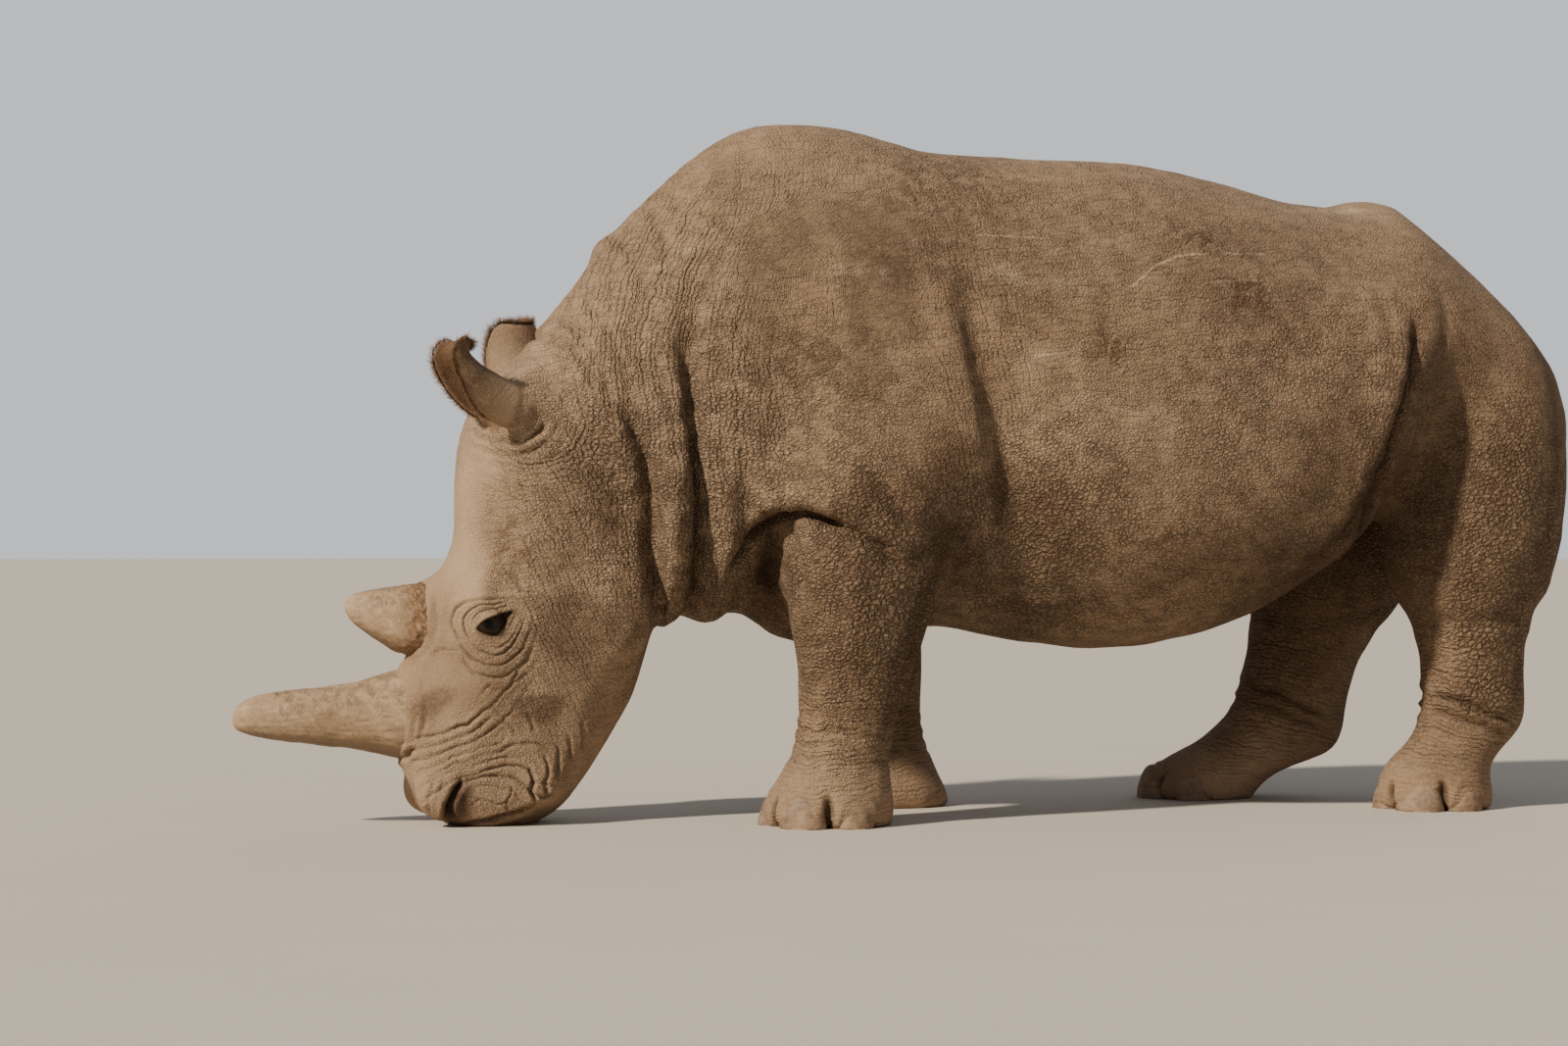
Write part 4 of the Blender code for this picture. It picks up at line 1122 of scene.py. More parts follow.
# Paler ovals: dust, and painted light where light thrown up from the floor brightens the belly's lower side
# and where the lower neck folds are lightened against their own shade.
DUST_AND_LIGHT = (
    Zone((-0.8, 1.2), (0.3, 0.32), 0.75, -40),
    Zone((-1.13, 0.8), (0.08, 0.32), 0.9),
    Zone((-1.05, 0.62), (0.14, 0.3), 0.5),
    Zone((-0.86, 0.66), (0.24, 0.5), 0.65),
    Zone((-0.92, 1.0), (0.18, 0.24), 0.9),
    Zone((-0.6, 0.62), (0.12, 0.14), 0.6),
    Zone((-1.12, 0.12), (0.22, 0.14), 0.5),
    Zone((-0.62, 0.8), (0.2, 0.52), 0.7),
    Zone((0.28, 0.94), (0.26, 0.1), 0.75),
    Zone((0.2, 1.11), (0.1, 0.03), 0.6),
    Zone((0.6, 0.9), (0.46, 0.18), 0.4),
    Zone((-0.25, 0.98), (0.22, 0.16), 0.4),
    Zone((-0.4, 1.56), (0.3, 0.14), 0.35),
    Zone((0.98, 1.5), (0.34, 0.06), 0.45),
    Zone((-0.32, 0.1), (0.26, 0.1), 0.5),
    Zone((0.88, 0.08), (0.12, 0.08), 0.6),
    Zone((0.45, 0.5), (0.6, 0.1), 0.45),
)
# Painted shade: ovals darkened where shadow falls on the body and legs; the three patches on the face are
# partly darker hide as well.
SHADED = (
    Zone((-0.96, 0.27), (0.06, 0.04), 0.7, 0, 0.25),
    Zone((-1.212, 0.286), (0.042, 0.04), 0.6, -35, 0.4),
    Zone((-0.9, 0.46), (0.1, 0.08), 0.6, 20, 0.3),
    Zone((-0.435, 0.565), (0.048, 0.12), 0.9),
    Zone((-0.4, 0.47), (0.16, 0.14), 0.3),
    Zone((-0.025, 0.73), (0.085, 0.2), 0.85, 10),
    Zone((0.17, 0.6), (0.1, 0.16), 0.25),
    Zone((1.02, 0.72), (0.08, 0.24), 1.0, 10),
    Zone((0.92, 0.78), (0.13, 0.22), 0.55),
    Zone((1.12, 0.66), (0.17, 0.28), 0.85),
    Zone((1.2, 0.9), (0.16, 0.3), 0.5),
    Zone((1.36, 0.18), (0.2, 0.16), 0.45),
    Zone((0.96, 0.5), (0.26, 0.3), 0.9),
    Zone((0.45, 1.36), (0.9, 0.16), 0.2),
)
MUDDY = (
    Zone((0.69, 1.255), (0.06, 0.06)),
    Zone((0.62, 1.4), (0.11, 0.034), 0.95, -15),
    Zone((0.35, 1.155), (0.045, 0.045), 0.95),
    Zone((0.46, 0.69), (0.045, 0.018)),
    Zone((-0.28, 1.1), (0.18, 0.1), 0.5),
    Zone((0.02, 1.52), (0.2, 0.08), 0.5),
    Zone((-0.1, 1.34), (0.16, 0.08), 0.45),
    Zone((-1.02, 0.65), (0.03, 0.07), 0.6),
    Zone((-1.07, 0.76), (0.03, 0.06), 0.25),
)
SCRATCHES = (
    (((0.03, 1.318), (0.13, 1.292), (0.225, 1.262), (0.3, 1.285)), 0.01, 0.9),
    (((-0.33, 1.3), (-0.24, 1.306), (-0.15, 1.296)), 0.008, 0.6),
    (((-0.35, 1.06), (-0.3, 1.066), (-0.24, 1.06)), 0.006, 0.6),
    (((-0.72, 1.29), (-0.66, 1.33), (-0.58, 1.38)), 0.01, 0.5),
    (((0.846, 1.5), (0.93, 1.49), (1.032, 1.492), (1.166, 1.502)), 0.006, 0.9),
)


@dataclass(frozen=True)
class Furrows:
    """Many furrows side by side, seen from the side of the animal.

    They are straight, rings round a centre where one is given, or follow a line where one is given.

    zones: Where they show.
    turn: Degrees from +X to the way across straight furrows.
    offset: Added to the distance across, so that neighbouring sets meet in step.
    inner: Rings narrower than this don't show.
    """

    zones: tuple[Zone, ...]
    turn: float = 0.0
    centre: tuple[float, float] | None = None
    line: Line | None = None
    offset: float = 0.0
    inner: float = 0.0

    def shown(self, points: Array) -> Array:
        """How much the furrows show at each point."""
        shown = zones_at(self.zones, points)
        if not self.inner:
            return shown
        return shown * smooth_step(0.7 * self.inner, 1.3 * self.inner, self.across(points))

    def across(self, points: Array) -> Array:
        """Metres across the furrows at each point."""
        x, z = points[:, 0], points[:, 2]
        if self.centre:
            return np.hypot(x - self.centre[0], z - self.centre[1]) + self.offset
        if self.line:
            path = smooth_line(self.line)
            return x - np.interp(z, path[:, 1], path[:, 0]) + self.offset
        turn = math.radians(self.turn)
        return x * math.cos(turn) + z * math.sin(turn) + self.offset


FIRST_FURROWS = (
    Furrows((Zone((-0.97, 0.93), (0.13, 0.14)), Zone((-1.08, 0.86), (0.1, 0.09), 0.8)),
            centre=(-0.985, 0.955), inner=0.065),
    Furrows((Zone((-0.66, 1.02), (0.24, 0.6), 1.0, 8),), line=VALLEY, offset=0.35),
    Furrows((Zone((-0.28, 0.19), (0.32, 0.2), 0.9), Zone((0.05, 0.2), (0.28, 0.2), 0.9)), turn=94),
    Furrows((Zone((1.36, 0.21), (0.32, 0.22), 0.9), Zone((0.96, 0.26), (0.28, 0.28), 0.9)), turn=78),
    Furrows((Zone((1.04, 0.95), (0.08, 0.34), 0.55, -15),), line=FLANK),
    Furrows((Zone((0.03, 1.0), (0.12, 0.42), 0.6),), line=SHOULDER_REAR),
)
SECOND_FURROWS = (
    Furrows((Zone((-0.89, 0.6), (0.17, 0.36), 0.7),), turn=28),
    Furrows((Zone((-0.42, 1.25), (0.22, 0.34), 0.5, -20),), turn=-12),
    Furrows((Zone((0.55, 1.28), (0.8, 0.24), 0.4), Zone((-0.2, 1.25), (0.3, 0.2), 0.3)), turn=84),
    Furrows((Zone((1.4, 1.1), (0.24, 0.34), 0.4),), turn=70),
    Furrows((Zone((1.64, 0.8), (0.1, 0.4), 0.9),), turn=90),
)


def furrows_at(furrows: tuple[Furrows, ...], points: Array) -> tuple[Array, Array]:
    """Blends sets of furrows.

    Args:
        furrows: The sets.
        points: Rows of x, y, z.

    Returns:
        Metres across them, and how much they show, at each point.
    """
    shown = np.array([each.shown(points) for each in furrows])
    weights = shown**2 + 1e-6
    across = np.array([each.across(points) for each in furrows])
    return (across * weights).sum(0) / weights.sum(0), shown.max(0)


@dataclass(frozen=True)
class EyeSeat:
    """The opening between an eye's lids, round the ball that the frame gives.

    tip: Degrees that the slit rises towards the rear.
    outline: The opening, as (along, up) from the ball's centre.
    lid: How thick the lids are over the ball.
    recess: How far behind the ball's front the hide lies in the opening.
    reach: How far from the ball's centre the hide is shaped for it.
    hollow: Least height of the ball's own curve, past its rim.
    """

    side: Side
    tip: float = 25.0
    outline: Line = (
        (-0.0375, -0.001), (-0.029, 0.009), (-0.0125, 0.014), (0.0185, 0.0115), (0.045, 0.007),
        (0.056, 0.004), (0.042, -0.007), (0.019, -0.024), (0.002, -0.031), (-0.015, -0.027),
        (-0.031, -0.013),
    )
    lid: float = 0.0038
    recess: float = 0.0045
    reach: float = 0.085
    hollow: float = 0.012

    @property
    def centre(self) -> Array:
        """The middle of the ball."""
        low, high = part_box("eye_left" if self.side is Side.LEFT else "eye_right")
        return np.array((low + high) / 2)

    @property
    def radius(self) -> float:
        """The radius of the ball."""
        low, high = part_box("eye_left")
        return (high.z - low.z) / 2

    def local(self, points: Array) -> Array:
        """Points as along the slit, up across it and out of the head, from the ball's centre."""
        turn = math.radians(self.tip)
        offset = points - self.centre
        along = offset[:, 0] * math.cos(turn) + offset[:, 2] * math.sin(turn)
        up = offset[:, 2] * math.cos(turn) - offset[:, 0] * math.sin(turn)
        return np.column_stack([along, up, offset[:, 1] * self.side.value])

    def outside(self, flat: Array) -> Array:
        """How far points lie outside the opening, below 0 for those in it."""
        corners = smooth_line((*self.outline, self.outline[0]), 3)
        starts, runs = corners[:-1], np.diff(corners, axis=0)
        offset = flat[:, None, :] - starts
        share = np.clip((offset * runs).sum(2) / (runs**2).sum(1), 0, 1)
        gap = np.hypot(*np.moveaxis(offset - share[..., None] * runs, 2, 0)).min(1)
        above = (starts[:, 1] > flat[:, 1:]) != (corners[1:, 1] > flat[:, 1:])
        steps = np.where(np.abs(runs[:, 1]) < 1e-9, 1e-9, runs[:, 1])
        crossing = starts[:, 0] + (flat[:, 1:] - starts[:, 1]) * runs[:, 0] / steps
        inside = (above & (flat[:, :1] < crossing)).sum(1) % 2 == 1
        return np.where(inside, -gap, gap)

    def near(self, points: Array) -> Array:
        """Rows of the points round this eye."""
        local = self.local(points)
        close = (np.hypot(local[:, 0], local[:, 1]) < self.reach) & (local[:, 2] > -0.03)
        return np.nonzero(close)[0]

    def press(self, points: Array) -> Array:
        """Lays the hide round the ball: lids over it, and a recess behind the opening.

        Args:
            points: All the hide's points.

        Returns:
            The points with those round the eye moved.
        """
        rows = self.near(points)
        local = self.local(points[rows])
        gap = self.outside(local[:, :2])
        from_centre = np.hypot(local[:, 0], local[:, 1])
        ball = np.sqrt(np.maximum(self.radius**2 - from_centre**2, self.hollow**2))
        over_ball = smooth_step(self.radius * 1.15, self.radius * 0.8, from_centre)
        edge = over_ball * (ball + self.lid) + (1 - over_ball) * (local[:, 2] - 0.004)
        hold = smooth_step(0.026, 0.003, gap) * over_ball
        lidded = local[:, 2] * (1 - hold) + np.maximum(edge, local[:, 2] - 0.012) * hold
        lidded = lidded + 0.0026 * bell(gap - 0.004, 0.0035)
        sunk = ball - self.recess
        open_share = smooth_step(0.0, -0.003, gap)
        out = lidded * (1 - open_share) + sunk * open_share
        moved = points.copy()
        moved[rows, 1] += (out - local[:, 2]) * self.side.value
        return moved

    def darken(self, points: Array, shade: Array) -> None:
        """Paints shade into the opening and along the lids' margins."""
        rows = self.near(points)
        gap = self.outside(self.local(points[rows])[:, :2])
        found = smooth_step(0.003, -0.0005, gap) * 0.95 + 0.35 * bell(gap - 0.002, 0.004)
        shade[rows] = np.maximum(shade[rows], np.clip(found, 0, 1))


@dataclass(frozen=True)
class Ear:
    """A cupped ear: a sheet rolled round a curved spine, whose opening faces the way it heads.

    root: Where its spine starts, on the right side of the head.
    heading: Degrees that it points away from straight ahead.
    pitches: Degrees that the spine rises at its root and at its tip.
    shares: Places along the spine that depths, breadths and wraps are given for.
    wraps: Degrees from the middle of the sheet to each rim.
    hook: Degrees more that the tip bends.
    roll: Degrees that the whole ear is turned about its spine.
    dusk: How dark the painted shade on its hide is towards the tip.
    """

    name: str
    side: Side
    root: tuple[float, float, float]
    heading: float
    pitches: tuple[float, float]
    length: float
    curl: float = 1.5
    wall: float = 0.0125
    columns: int = 44
    rows: int = 40
    shares: tuple = (0.0, 0.18, 0.38, 0.6, 0.82, 0.93, 1.0)
    depths: tuple = (0.054, 0.058, 0.054, 0.045, 0.037, 0.033, 0.028)
    breadths: tuple = (0.048, 0.056, 0.066, 0.073, 0.068, 0.06, 0.047)
    wraps: tuple = (168, 162, 144, 122, 106, 96, 70)
    hook: float = 0.0
    roll: float = 0.0
    painted_shade: float = 0.85

    def pitch(self, share: float) -> float:
        """How steeply the spine rises part way along, in radians."""
        first, last = self.pitches
        bent = self.hook * float(smooth_step(0.7, 1.0, np.array(share)))
        return math.radians(first + (last - first) * share**self.curl + bent)

    def frames(self, share: float) -> tuple[Vector, Vector, Vector]:
        """The spine's point, the way across and the way the opening faces, part way along."""
        turn = math.radians(self.heading)
        ahead = Vector((-math.cos(turn), self.side.value * math.sin(turn), 0))
        up = Vector((0, 0, 1))
        point = Vector((self.root[0], self.root[1] * self.side.value, self.root[2]))
        steps = max(1, round(share * 24))
        for step in range(steps):
            pitch = self.pitch((step + 0.5) / steps * share)
            point += (ahead * math.cos(pitch) + up * math.sin(pitch)) * self.length * share / steps
        pitch = self.pitch(share)
        return point, ahead.cross(up), ahead * math.sin(pitch) - up * math.cos(pitch)

    def place(self, across: float, share: float, out: float = 1.0) -> Vector:
        """A point of the sheet.

        Args:
            across: From -1 at one rim to 1 at the other.
            share: Of the way from the root to the tip.
            out: Share of the way from the spine to the sheet.

        Returns:
            The point.
        """
        point, sideways, opening = self.frames(share)
        depth = np.interp(share, self.shares, self.depths) * out
        breadth = np.interp(share, self.shares, self.breadths) * out
        angle = math.radians(np.interp(share, self.shares, self.wraps) * across + self.roll)
        share = np.array(share)
        rolled = 1 + 0.1 * abs(across) ** 6 * float(smooth_step(0.25, 0.6, share))
        offset = sideways * math.sin(angle) * breadth - opening * math.cos(angle) * depth
        return point + offset * rolled

    def shell(self) -> bpy.types.Object:
        """The ear as a closed wall."""
        bm = bmesh.new()
        bmesh.ops.create_grid(bm, x_segments=self.columns, y_segments=self.rows, size=0.5)
        for vert in bm.verts:
            vert.co = self.place(2 * vert.co.x, vert.co.y + 0.5)
        bmesh.ops.recalc_face_normals(bm, faces=bm.faces)
        sheet = object_of(self.name + "_shell", bm)
        return with_modifier(sheet, "SOLIDIFY", thickness=self.wall, offset=0.0)

    def furred(self, points: Array) -> tuple[Array, Array, Array]:
        """Finds the ear in the hide.

        Args:
            points: Rows of x, y, z.

        Returns:
            How furry the ear is at each point, which is its lining and its rim; how surely the point
            is on the ear at all; and how dark the painted shade on its hide is there.
        """
        low, high = (np.array(corner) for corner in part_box(self.name))
        found, eared, ear_shade = (np.zeros(len(points)) for _ in range(3))
        rows = np.nonzero(np.all((points > low - 0.03) & (points < high + 0.03), axis=1))[0]
        places, ways, edges, shares = [], [], [], []
        for share, across in product(np.linspace(0.2, 1, 22), np.linspace(-1, 1, 25)):
            place = self.place(across, share)
            places.append(place)
            ways.append((self.frames(share)[0] - place).normalized())
            edges.append(abs(across) ** 8 * 0.7 if share < 0.97 else 0.7)
            shares.append(share)
        gaps = np.linalg.norm(points[rows, None, :] - np.array(places), axis=2)
        nearest = gaps.argmin(1)
        inward = ((points[rows] - np.array(places)[nearest]) * np.array(ways)[nearest]).sum(1)
        lining = np.maximum(smooth_step(0.0, 0.005, inward), np.array(edges)[nearest])
        eared[rows] = smooth_step(0.03, 0.014, gaps.min(1))
        found[rows] = lining * eared[rows]
        # Painted shade on the ear's hide, growing towards the tip.
        ear_shade[rows] = self.painted_shade * eared[rows] * smooth_step(0.15, 0.62, np.array(shares)[nearest])
        return found, eared, ear_shade


EARS = (
    Ear("ear_left", Side.LEFT, (-1.006, 0.142, 0.972), 10, (14, 84), 0.3, hook=80,
        depths=(0.044, 0.052, 0.054, 0.045, 0.037, 0.033, 0.028)),
    Ear(
        "ear_right", Side.RIGHT, (-0.945, 0.13, 0.985), 72, (52, 98), 0.235,
        depths=(0.054, 0.056, 0.048, 0.038, 0.03, 0.026, 0.022),
        wraps=(168, 158, 136, 112, 98, 92, 80), roll=22, painted_shade=0.15,
    ),
)


@dataclass(frozen=True)
class Worth:
    """How much of its fine mesh each part of the hide keeps, beside the others."""

    trunk: float = 0.0001
    leg: float = 0.00018
    foot: float = 0.0006
    neck: float = 0.0006
    face: float = 0.00042
    muzzle: float = 0.0012
    fold: float = 0.001
    ear: float = 0.0016
    eye: float = 0.005
    cleft: float = 0.004


@dataclass
class Hide:
    """The one skin over head, ears, neck, trunk, tail and legs.

    coarse, fine: Sizes of the blocks it is joined with, before and after the ears.
    weld: How far the flesh nodes are grown into each other.
    triangles: How many are left at the end.
    face_edge: The head lies at a lower x than this, and is smoothed less.
    pleat: Width of the broad pleats of the neck.
    muzzle: It lies at a lower x and a lower z than these.
    clefts: The depth and width of the cleft between the middle toe and each other one.
    cleft_reach: How far a cleft starts outside the nails' line, and how far in it runs.
    nail_rim: Height of the rim of hide round each nail.
    """

    coarse: float = 0.018
    fine: float = 0.0062
    weld: float = 0.001
    triangles: int = 190000
    face_edge: float = -0.62
    pleat: float = 0.046
    muzzle: tuple[float, float] = (-0.84, 0.36)
    clefts: tuple = (("outer", 0.03, 0.011), ("inner", 0.018, 0.013))
    cleft_reach: tuple[float, float] = (0.06, 0.08)
    nail_rim: float = 0.0035
    worth: Worth = Worth()
    nodes: tuple = (
        "head", "neck", "trunk", "tail", *(f"{leg}_{part}" for leg in LEGS for part in LEG_PARTS)
    )
    folds: tuple = (
        *NECK_FOLDS, *SHOULDER_FOLDS, *FLANK_FOLDS, *LEG_FOLDS, *EYE_FOLDS, *MUZZLE_FOLDS, *HORN_FOLDS,
        *EAR_FOLDS,
    )
    seats: tuple = (EyeSeat(Side.LEFT), EyeSeat(Side.RIGHT))

    def gathered(self) -> bpy.types.Object:
        """The flesh nodes grown into each other, with the sockets of hard pieces filled."""
        bm = bmesh.new()
        fillings = [(name, self.weld) for name in self.nodes]
        fillings += [(name, -0.001) for name in ("eye_left", "eye_right", "horn_front", "horn_rear")]
        fillings += [(f"{leg}_nail_{nail}", -0.006) for leg in LEGS for nail in NAILS]
        for name, by in fillings:
            part = grown(node_copy(name), by)
            if name.startswith("horn"):
                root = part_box(name)[1].x - 0.034
                geometry = [*part.verts, *part.edges, *part.faces]
                bmesh.ops.bisect_plane(
                    part, geom=geometry, plane_co=(root, 0, 0), plane_no=(-1, 0, 0), clear_outer=True
                )
                bmesh.ops.holes_fill(part, edges=part.edges)
            join(bm, part)
        return object_of("hide", bm)

    def smoothed(self, obj: bpy.types.Object) -> None:
        """Joins the flesh into one skin and takes the facets off it."""
        with_modifier(obj, "REMESH", mode="VOXEL", voxel_size=self.coarse)
        points = points_of(obj.data)
        amount = np.where(points[:, 0] < self.face_edge, 0.45, 1.0)
        amount = amount * smooth_step(0.0, 0.05, points[:, 2])
        relaxed(obj.data, 14, amount, 0.55, 0.58)
        with_modifier(obj, "SUBSURF", levels=1, render_levels=1)

    def with_ears(self, obj: bpy.types.Object) -> None:
        """Grows the ears out of the head."""
        bm = bmesh.new()
        bm.from_mesh(obj.data)
        for ear in EARS:
            shell = ear.shell()
            bm.from_mesh(shell.data)
            bpy.data.objects.remove(shell)
        bm.to_mesh(obj.data)
        bm.free()
        with_modifier(obj, "REMESH", mode="VOXEL", voxel_size=self.fine)
        relaxed(obj.data, 3, np.ones(len(obj.data.vertices)), 0.5, 0.3)

    def refined(self, obj: bpy.types.Object) -> None:
        """Divides the hide further round the muzzle and the eyes, where its folds are finest."""
        bm = bmesh.new()
        bm.from_mesh(obj.data)
        eyes = [Vector(seat.centre) for seat in self.seats]

        def divide(chosen: list) -> None:
            """Divides the edges of the chosen faces once."""
            edges = list({edge for face in chosen for edge in face.edges})
            bmesh.ops.subdivide_edges(bm, edges=edges, cuts=1, use_grid_fill=True)

        def in_face(place: Vector) -> bool:
            """Whether a point is on the muzzle or near an eye."""
            muzzle = place.x < self.muzzle[0] and place.z < self.muzzle[1]
            return muzzle or any((place - eye).length < 0.125 for eye in eyes)

        ahead = [face for face in bm.faces if face.verts[0].co.x < -0.8]
        divide([face for face in ahead if in_face(face.calc_center_median())])
        ahead = [face for face in bm.faces if face.verts[0].co.x < -0.95]
        divide([f for f in ahead if any((f.verts[0].co - eye).length < 0.062 for eye in eyes)])
        bm.to_mesh(obj.data)
        bm.free()

    def wander(self, points: Array) -> Array:
        """Noise in x and z that lets every line waver, and noise that lets it come and go."""
        across, up, strength = SmoothNoise(3), SmoothNoise(4), SmoothNoise(5)
        columns = [noise(points, 0.03) + 0.5 * noise(points, 0.012) for noise in (across, up)]
        return np.column_stack([*columns, strength(points, 0.034)])

    def wrinkled(self, points: Array, normals: Array) -> Array:
        """The lesser folds and lumps that cover the whole hide.

        Args:
            points: Rows of x, y, z.
            normals: The way out at each; not used.

        Returns:
            How far each point rises.
        """
        lumps = SmoothNoise(11)
        rise = 0.0022 * lumps(points, 0.11) + 0.001 * lumps(points + 5, 0.045)
        across, shown = furrows_at(FIRST_FURROWS[:2], points)
        waver = 0.3 * lumps(points + 9, 0.14)
        pleats = np.abs(np.sin(math.pi * (across / self.pleat + waver))) - 0.64
        rise += 0.0024 * pleats * shown * smooth_step(-0.8, -0.7, points[:, 0])
        knobbly = PEBBLED[0].at(points) + PEBBLED[3].at(points)
        rise += 0.0022 * knobbly * lumps(points + 3, 0.04)
        return rise * smooth_step(0.0, 0.04, points[:, 2])

    def feet(self, points: Array) -> Array:
        """Clefts between the toes, and a rim of hide round each nail.

        Args:
            points: Rows of x, y, z.

        Returns:
            How far each point rises.
        """
        rise = np.zeros(len(points))
        bm = bmesh.new()
        for leg in LEGS:
            low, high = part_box(f"{leg}_foot")
            heel = np.array((low + high) / 2)[:2]
            centres = {}
            for nail in NAILS:
                name = f"{leg}_nail_{nail}"
                low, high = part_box(name)
                centres[nail] = np.array((low + high) / 2)[:2]
                join(bm, node_copy(name))
            for nail, depth, width in self.clefts:
                middle = (centres["middle"] + centres[nail]) / 2
                way = (middle - heel) / np.linalg.norm(middle - heel)
                offset = points[:, :2] - middle - way * self.cleft_reach[0]
                inward = np.clip(offset @ way, -self.cleft_reach[1], 0)
                gap = np.hypot(*(offset - inward[:, None] * way).T)
                fade = smooth_step(0.095, 0.04, points[:, 2])
                rise -= depth * bell(gap, width) * fade
        tree = BVHTree.FromBMesh(bm)
        bm.free()
        for row in np.nonzero(points[:, 2] < 0.13)[0]:
            _, _, _, gap = tree.find_nearest(Vector(points[row]), 0.03)
            if gap is not None:
                rise[row] += self.nail_rim * math.exp(-(((gap - 0.007) / 0.006) ** 2))
        return rise

    def sculpted(self, obj: bpy.types.Object) -> None:
        """Presses every form, fold and wrinkle into the hide."""
        points, normals = points_of(obj.data), normals_of(obj.data)
        floor = points[:, 2].min()
        moves = np.zeros_like(points)
        for form in FORMS:
            form.press(points, normals, moves)
        moves += normals * (self.wrinkled(points, normals) + self.feet(points))[:, None]
        wander = self.wander(points)
        for fold in self.folds:
            fold.press(points, normals, wander, moves)
        eared = np.max([ear.furred(points)[1] for ear in EARS], axis=0)
        moved = points + moves * (1 - eared)[:, None]
        for seat in self.seats:
            moved = seat.press(moved)
        moved[:, 2] = np.maximum(moved[:, 2], 0.0)
        grounded = points[:, 2] < floor + 0.002
        moved[grounded, 2] = 0.0
        set_points(obj.data, moved)

    def thinned(self, obj: bpy.types.Object) -> None:
        """Takes triangles out where the hide is plain, and fewest from the face."""
        with_modifier(obj, "TRIANGULATE")
        points = points_of(obj.data)
        keep = obj.vertex_groups.new(name="keep")
        x, z, kept = points[:, 0], points[:, 2], self.worth
        face = x < self.muzzle[0]
        worth = np.full(len(points), kept.trunk)
        worth[z < 0.45] = kept.leg
        worth[(z < 0.12) & (x > -0.6)] = kept.foot
        worth[(x < -0.44) & (z > 0.42)] = kept.neck
        worth[face] = kept.face
        worth[face & (z < self.muzzle[1])] = kept.muzzle
        for fold in (*NECK_FOLDS[:3], *SHOULDER_FOLDS[:4], FLANK_FOLDS[0]):
            rows, flat = fold.nearby(points)
            near = rows[np.abs(fold.measured(flat)[0]) < 0.06]
            worth[near] = np.maximum(worth[near], kept.fold)
        for ear in EARS:
            low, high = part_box(ear.name)
            inside = np.all((points > np.array(low)) & (points < np.array(high)), axis=1)
            worth[inside] = kept.ear
        for seat in self.seats:
            worth[seat.near(points)] = kept.eye
        worth[self.feet(points) < -0.002] = kept.cleft
        for amount in np.unique(worth):
            keep.add(np.nonzero(worth == amount)[0].tolist(), float(amount), "REPLACE")
        ratio = self.triangles / len(obj.data.polygons)
        with_modifier(obj, "DECIMATE", ratio=ratio, vertex_group="keep", invert_vertex_group=True)
        obj.vertex_groups.clear()
        points = points_of(obj.data)
        points[:, 2] = np.maximum(points[:, 2], 0.0)
        set_points(obj.data, points)

    def painted(self, obj: bpy.types.Object) -> None:
        """Keeps on the hide what its finish needs to know of each place."""
        mesh = obj.data
        points, normals = points_of(mesh), normals_of(mesh)
        broken = SmoothNoise(21)
        noises = [broken(points + shift, 0.12) for shift in (0, 7, 8)]
        edge = points + 0.035 * np.column_stack(noises)
        # Painted shade in the folds, round the eyes and in the toe clefts.
        crease = np.zeros(len(points))
        wander = self.wander(points)
        for fold in self.folds:
            fold.darken(points, normals, wander, crease)
        for seat in self.seats:
            seat.darken(points, crease)
        # painted shade in the clefts between the toes
        crease = np.maximum(crease, smooth_step(-0.004, -0.014, self.feet(points)))
        furred, eared, ear_shade = np.max([ear.furred(points) for ear in EARS], axis=0)
        rough = 1 - np.maximum(zones_at(BARE, edge), 0.85 * eared)
        keep_values(mesh, crease=np.clip(crease, 0, 1), furred=furred)
        for name, zones in (("lumpy", LUMPY), ("pebbled", PEBBLED), ("celled", CELLED)):
            keep_values(mesh, **{name: zones_at(zones, edge) * rough})
        for name, furrows in (("first", FIRST_FURROWS), ("second", SECOND_FURROWS)):
            across, shown = furrows_at(furrows, points)
            keep_values(mesh, **{name + "_phase": across, name + "_lined": shown * rough})
        above = smooth_step(0.2, 0.95, normals[:, 2]) * 0.45
        # Dust, with painted light in some of its ovals.
        keep_values(mesh, dust=np.maximum(zones_at(DUST_AND_LIGHT, edge), above))
        # Painted shade from the shaded ovals and the ears.
        keep_values(mesh, shade=np.maximum(zones_at(SHADED, edge), ear_shade))
        keep_values(mesh, mud=zones_at(MUDDY, edge) * (points[:, 1] < 0.6))
        scraped = np.zeros(len(points))
        for line, width, amount in SCRATCHES:
            mark = Fold(line, 0.01, width)
            rows, flat = mark.nearby(points)
            signed, _, strength = mark.measured(flat + 1.2 * wander[rows, :2] * width)
            scraped[rows] = np.maximum(scraped[rows], amount * strength * bell(signed, width))
        nostril = Zone((-1.165, 0.05), (0.032, 0.06), 1.0, -20).at(points)
        lips = Zone((-1.1, 0.0), (0.13, 0.022), 0.8).at(points)
        damp = np.maximum(nostril, lips) * (points[:, 0] < -0.95)
        keep_values(mesh, scraped=scraped, damp=damp)

    def build(self) -> None:
        """Makes and dresses the hide.
        """
        obj = self.gathered()
        steps = (self.smoothed, self.with_ears, self.refined, self.sculpted, self.thinned, self.painted)
        for step in steps:
            step(obj)
            LOG.info("hide %s: %d faces", step.__name__, len(obj.data.polygons))
        finished(obj, "hide", HideFinish().build(), *self.nodes, *(ear.name for ear in EARS))


# ------------------------------------
# Horns, nails and eyes


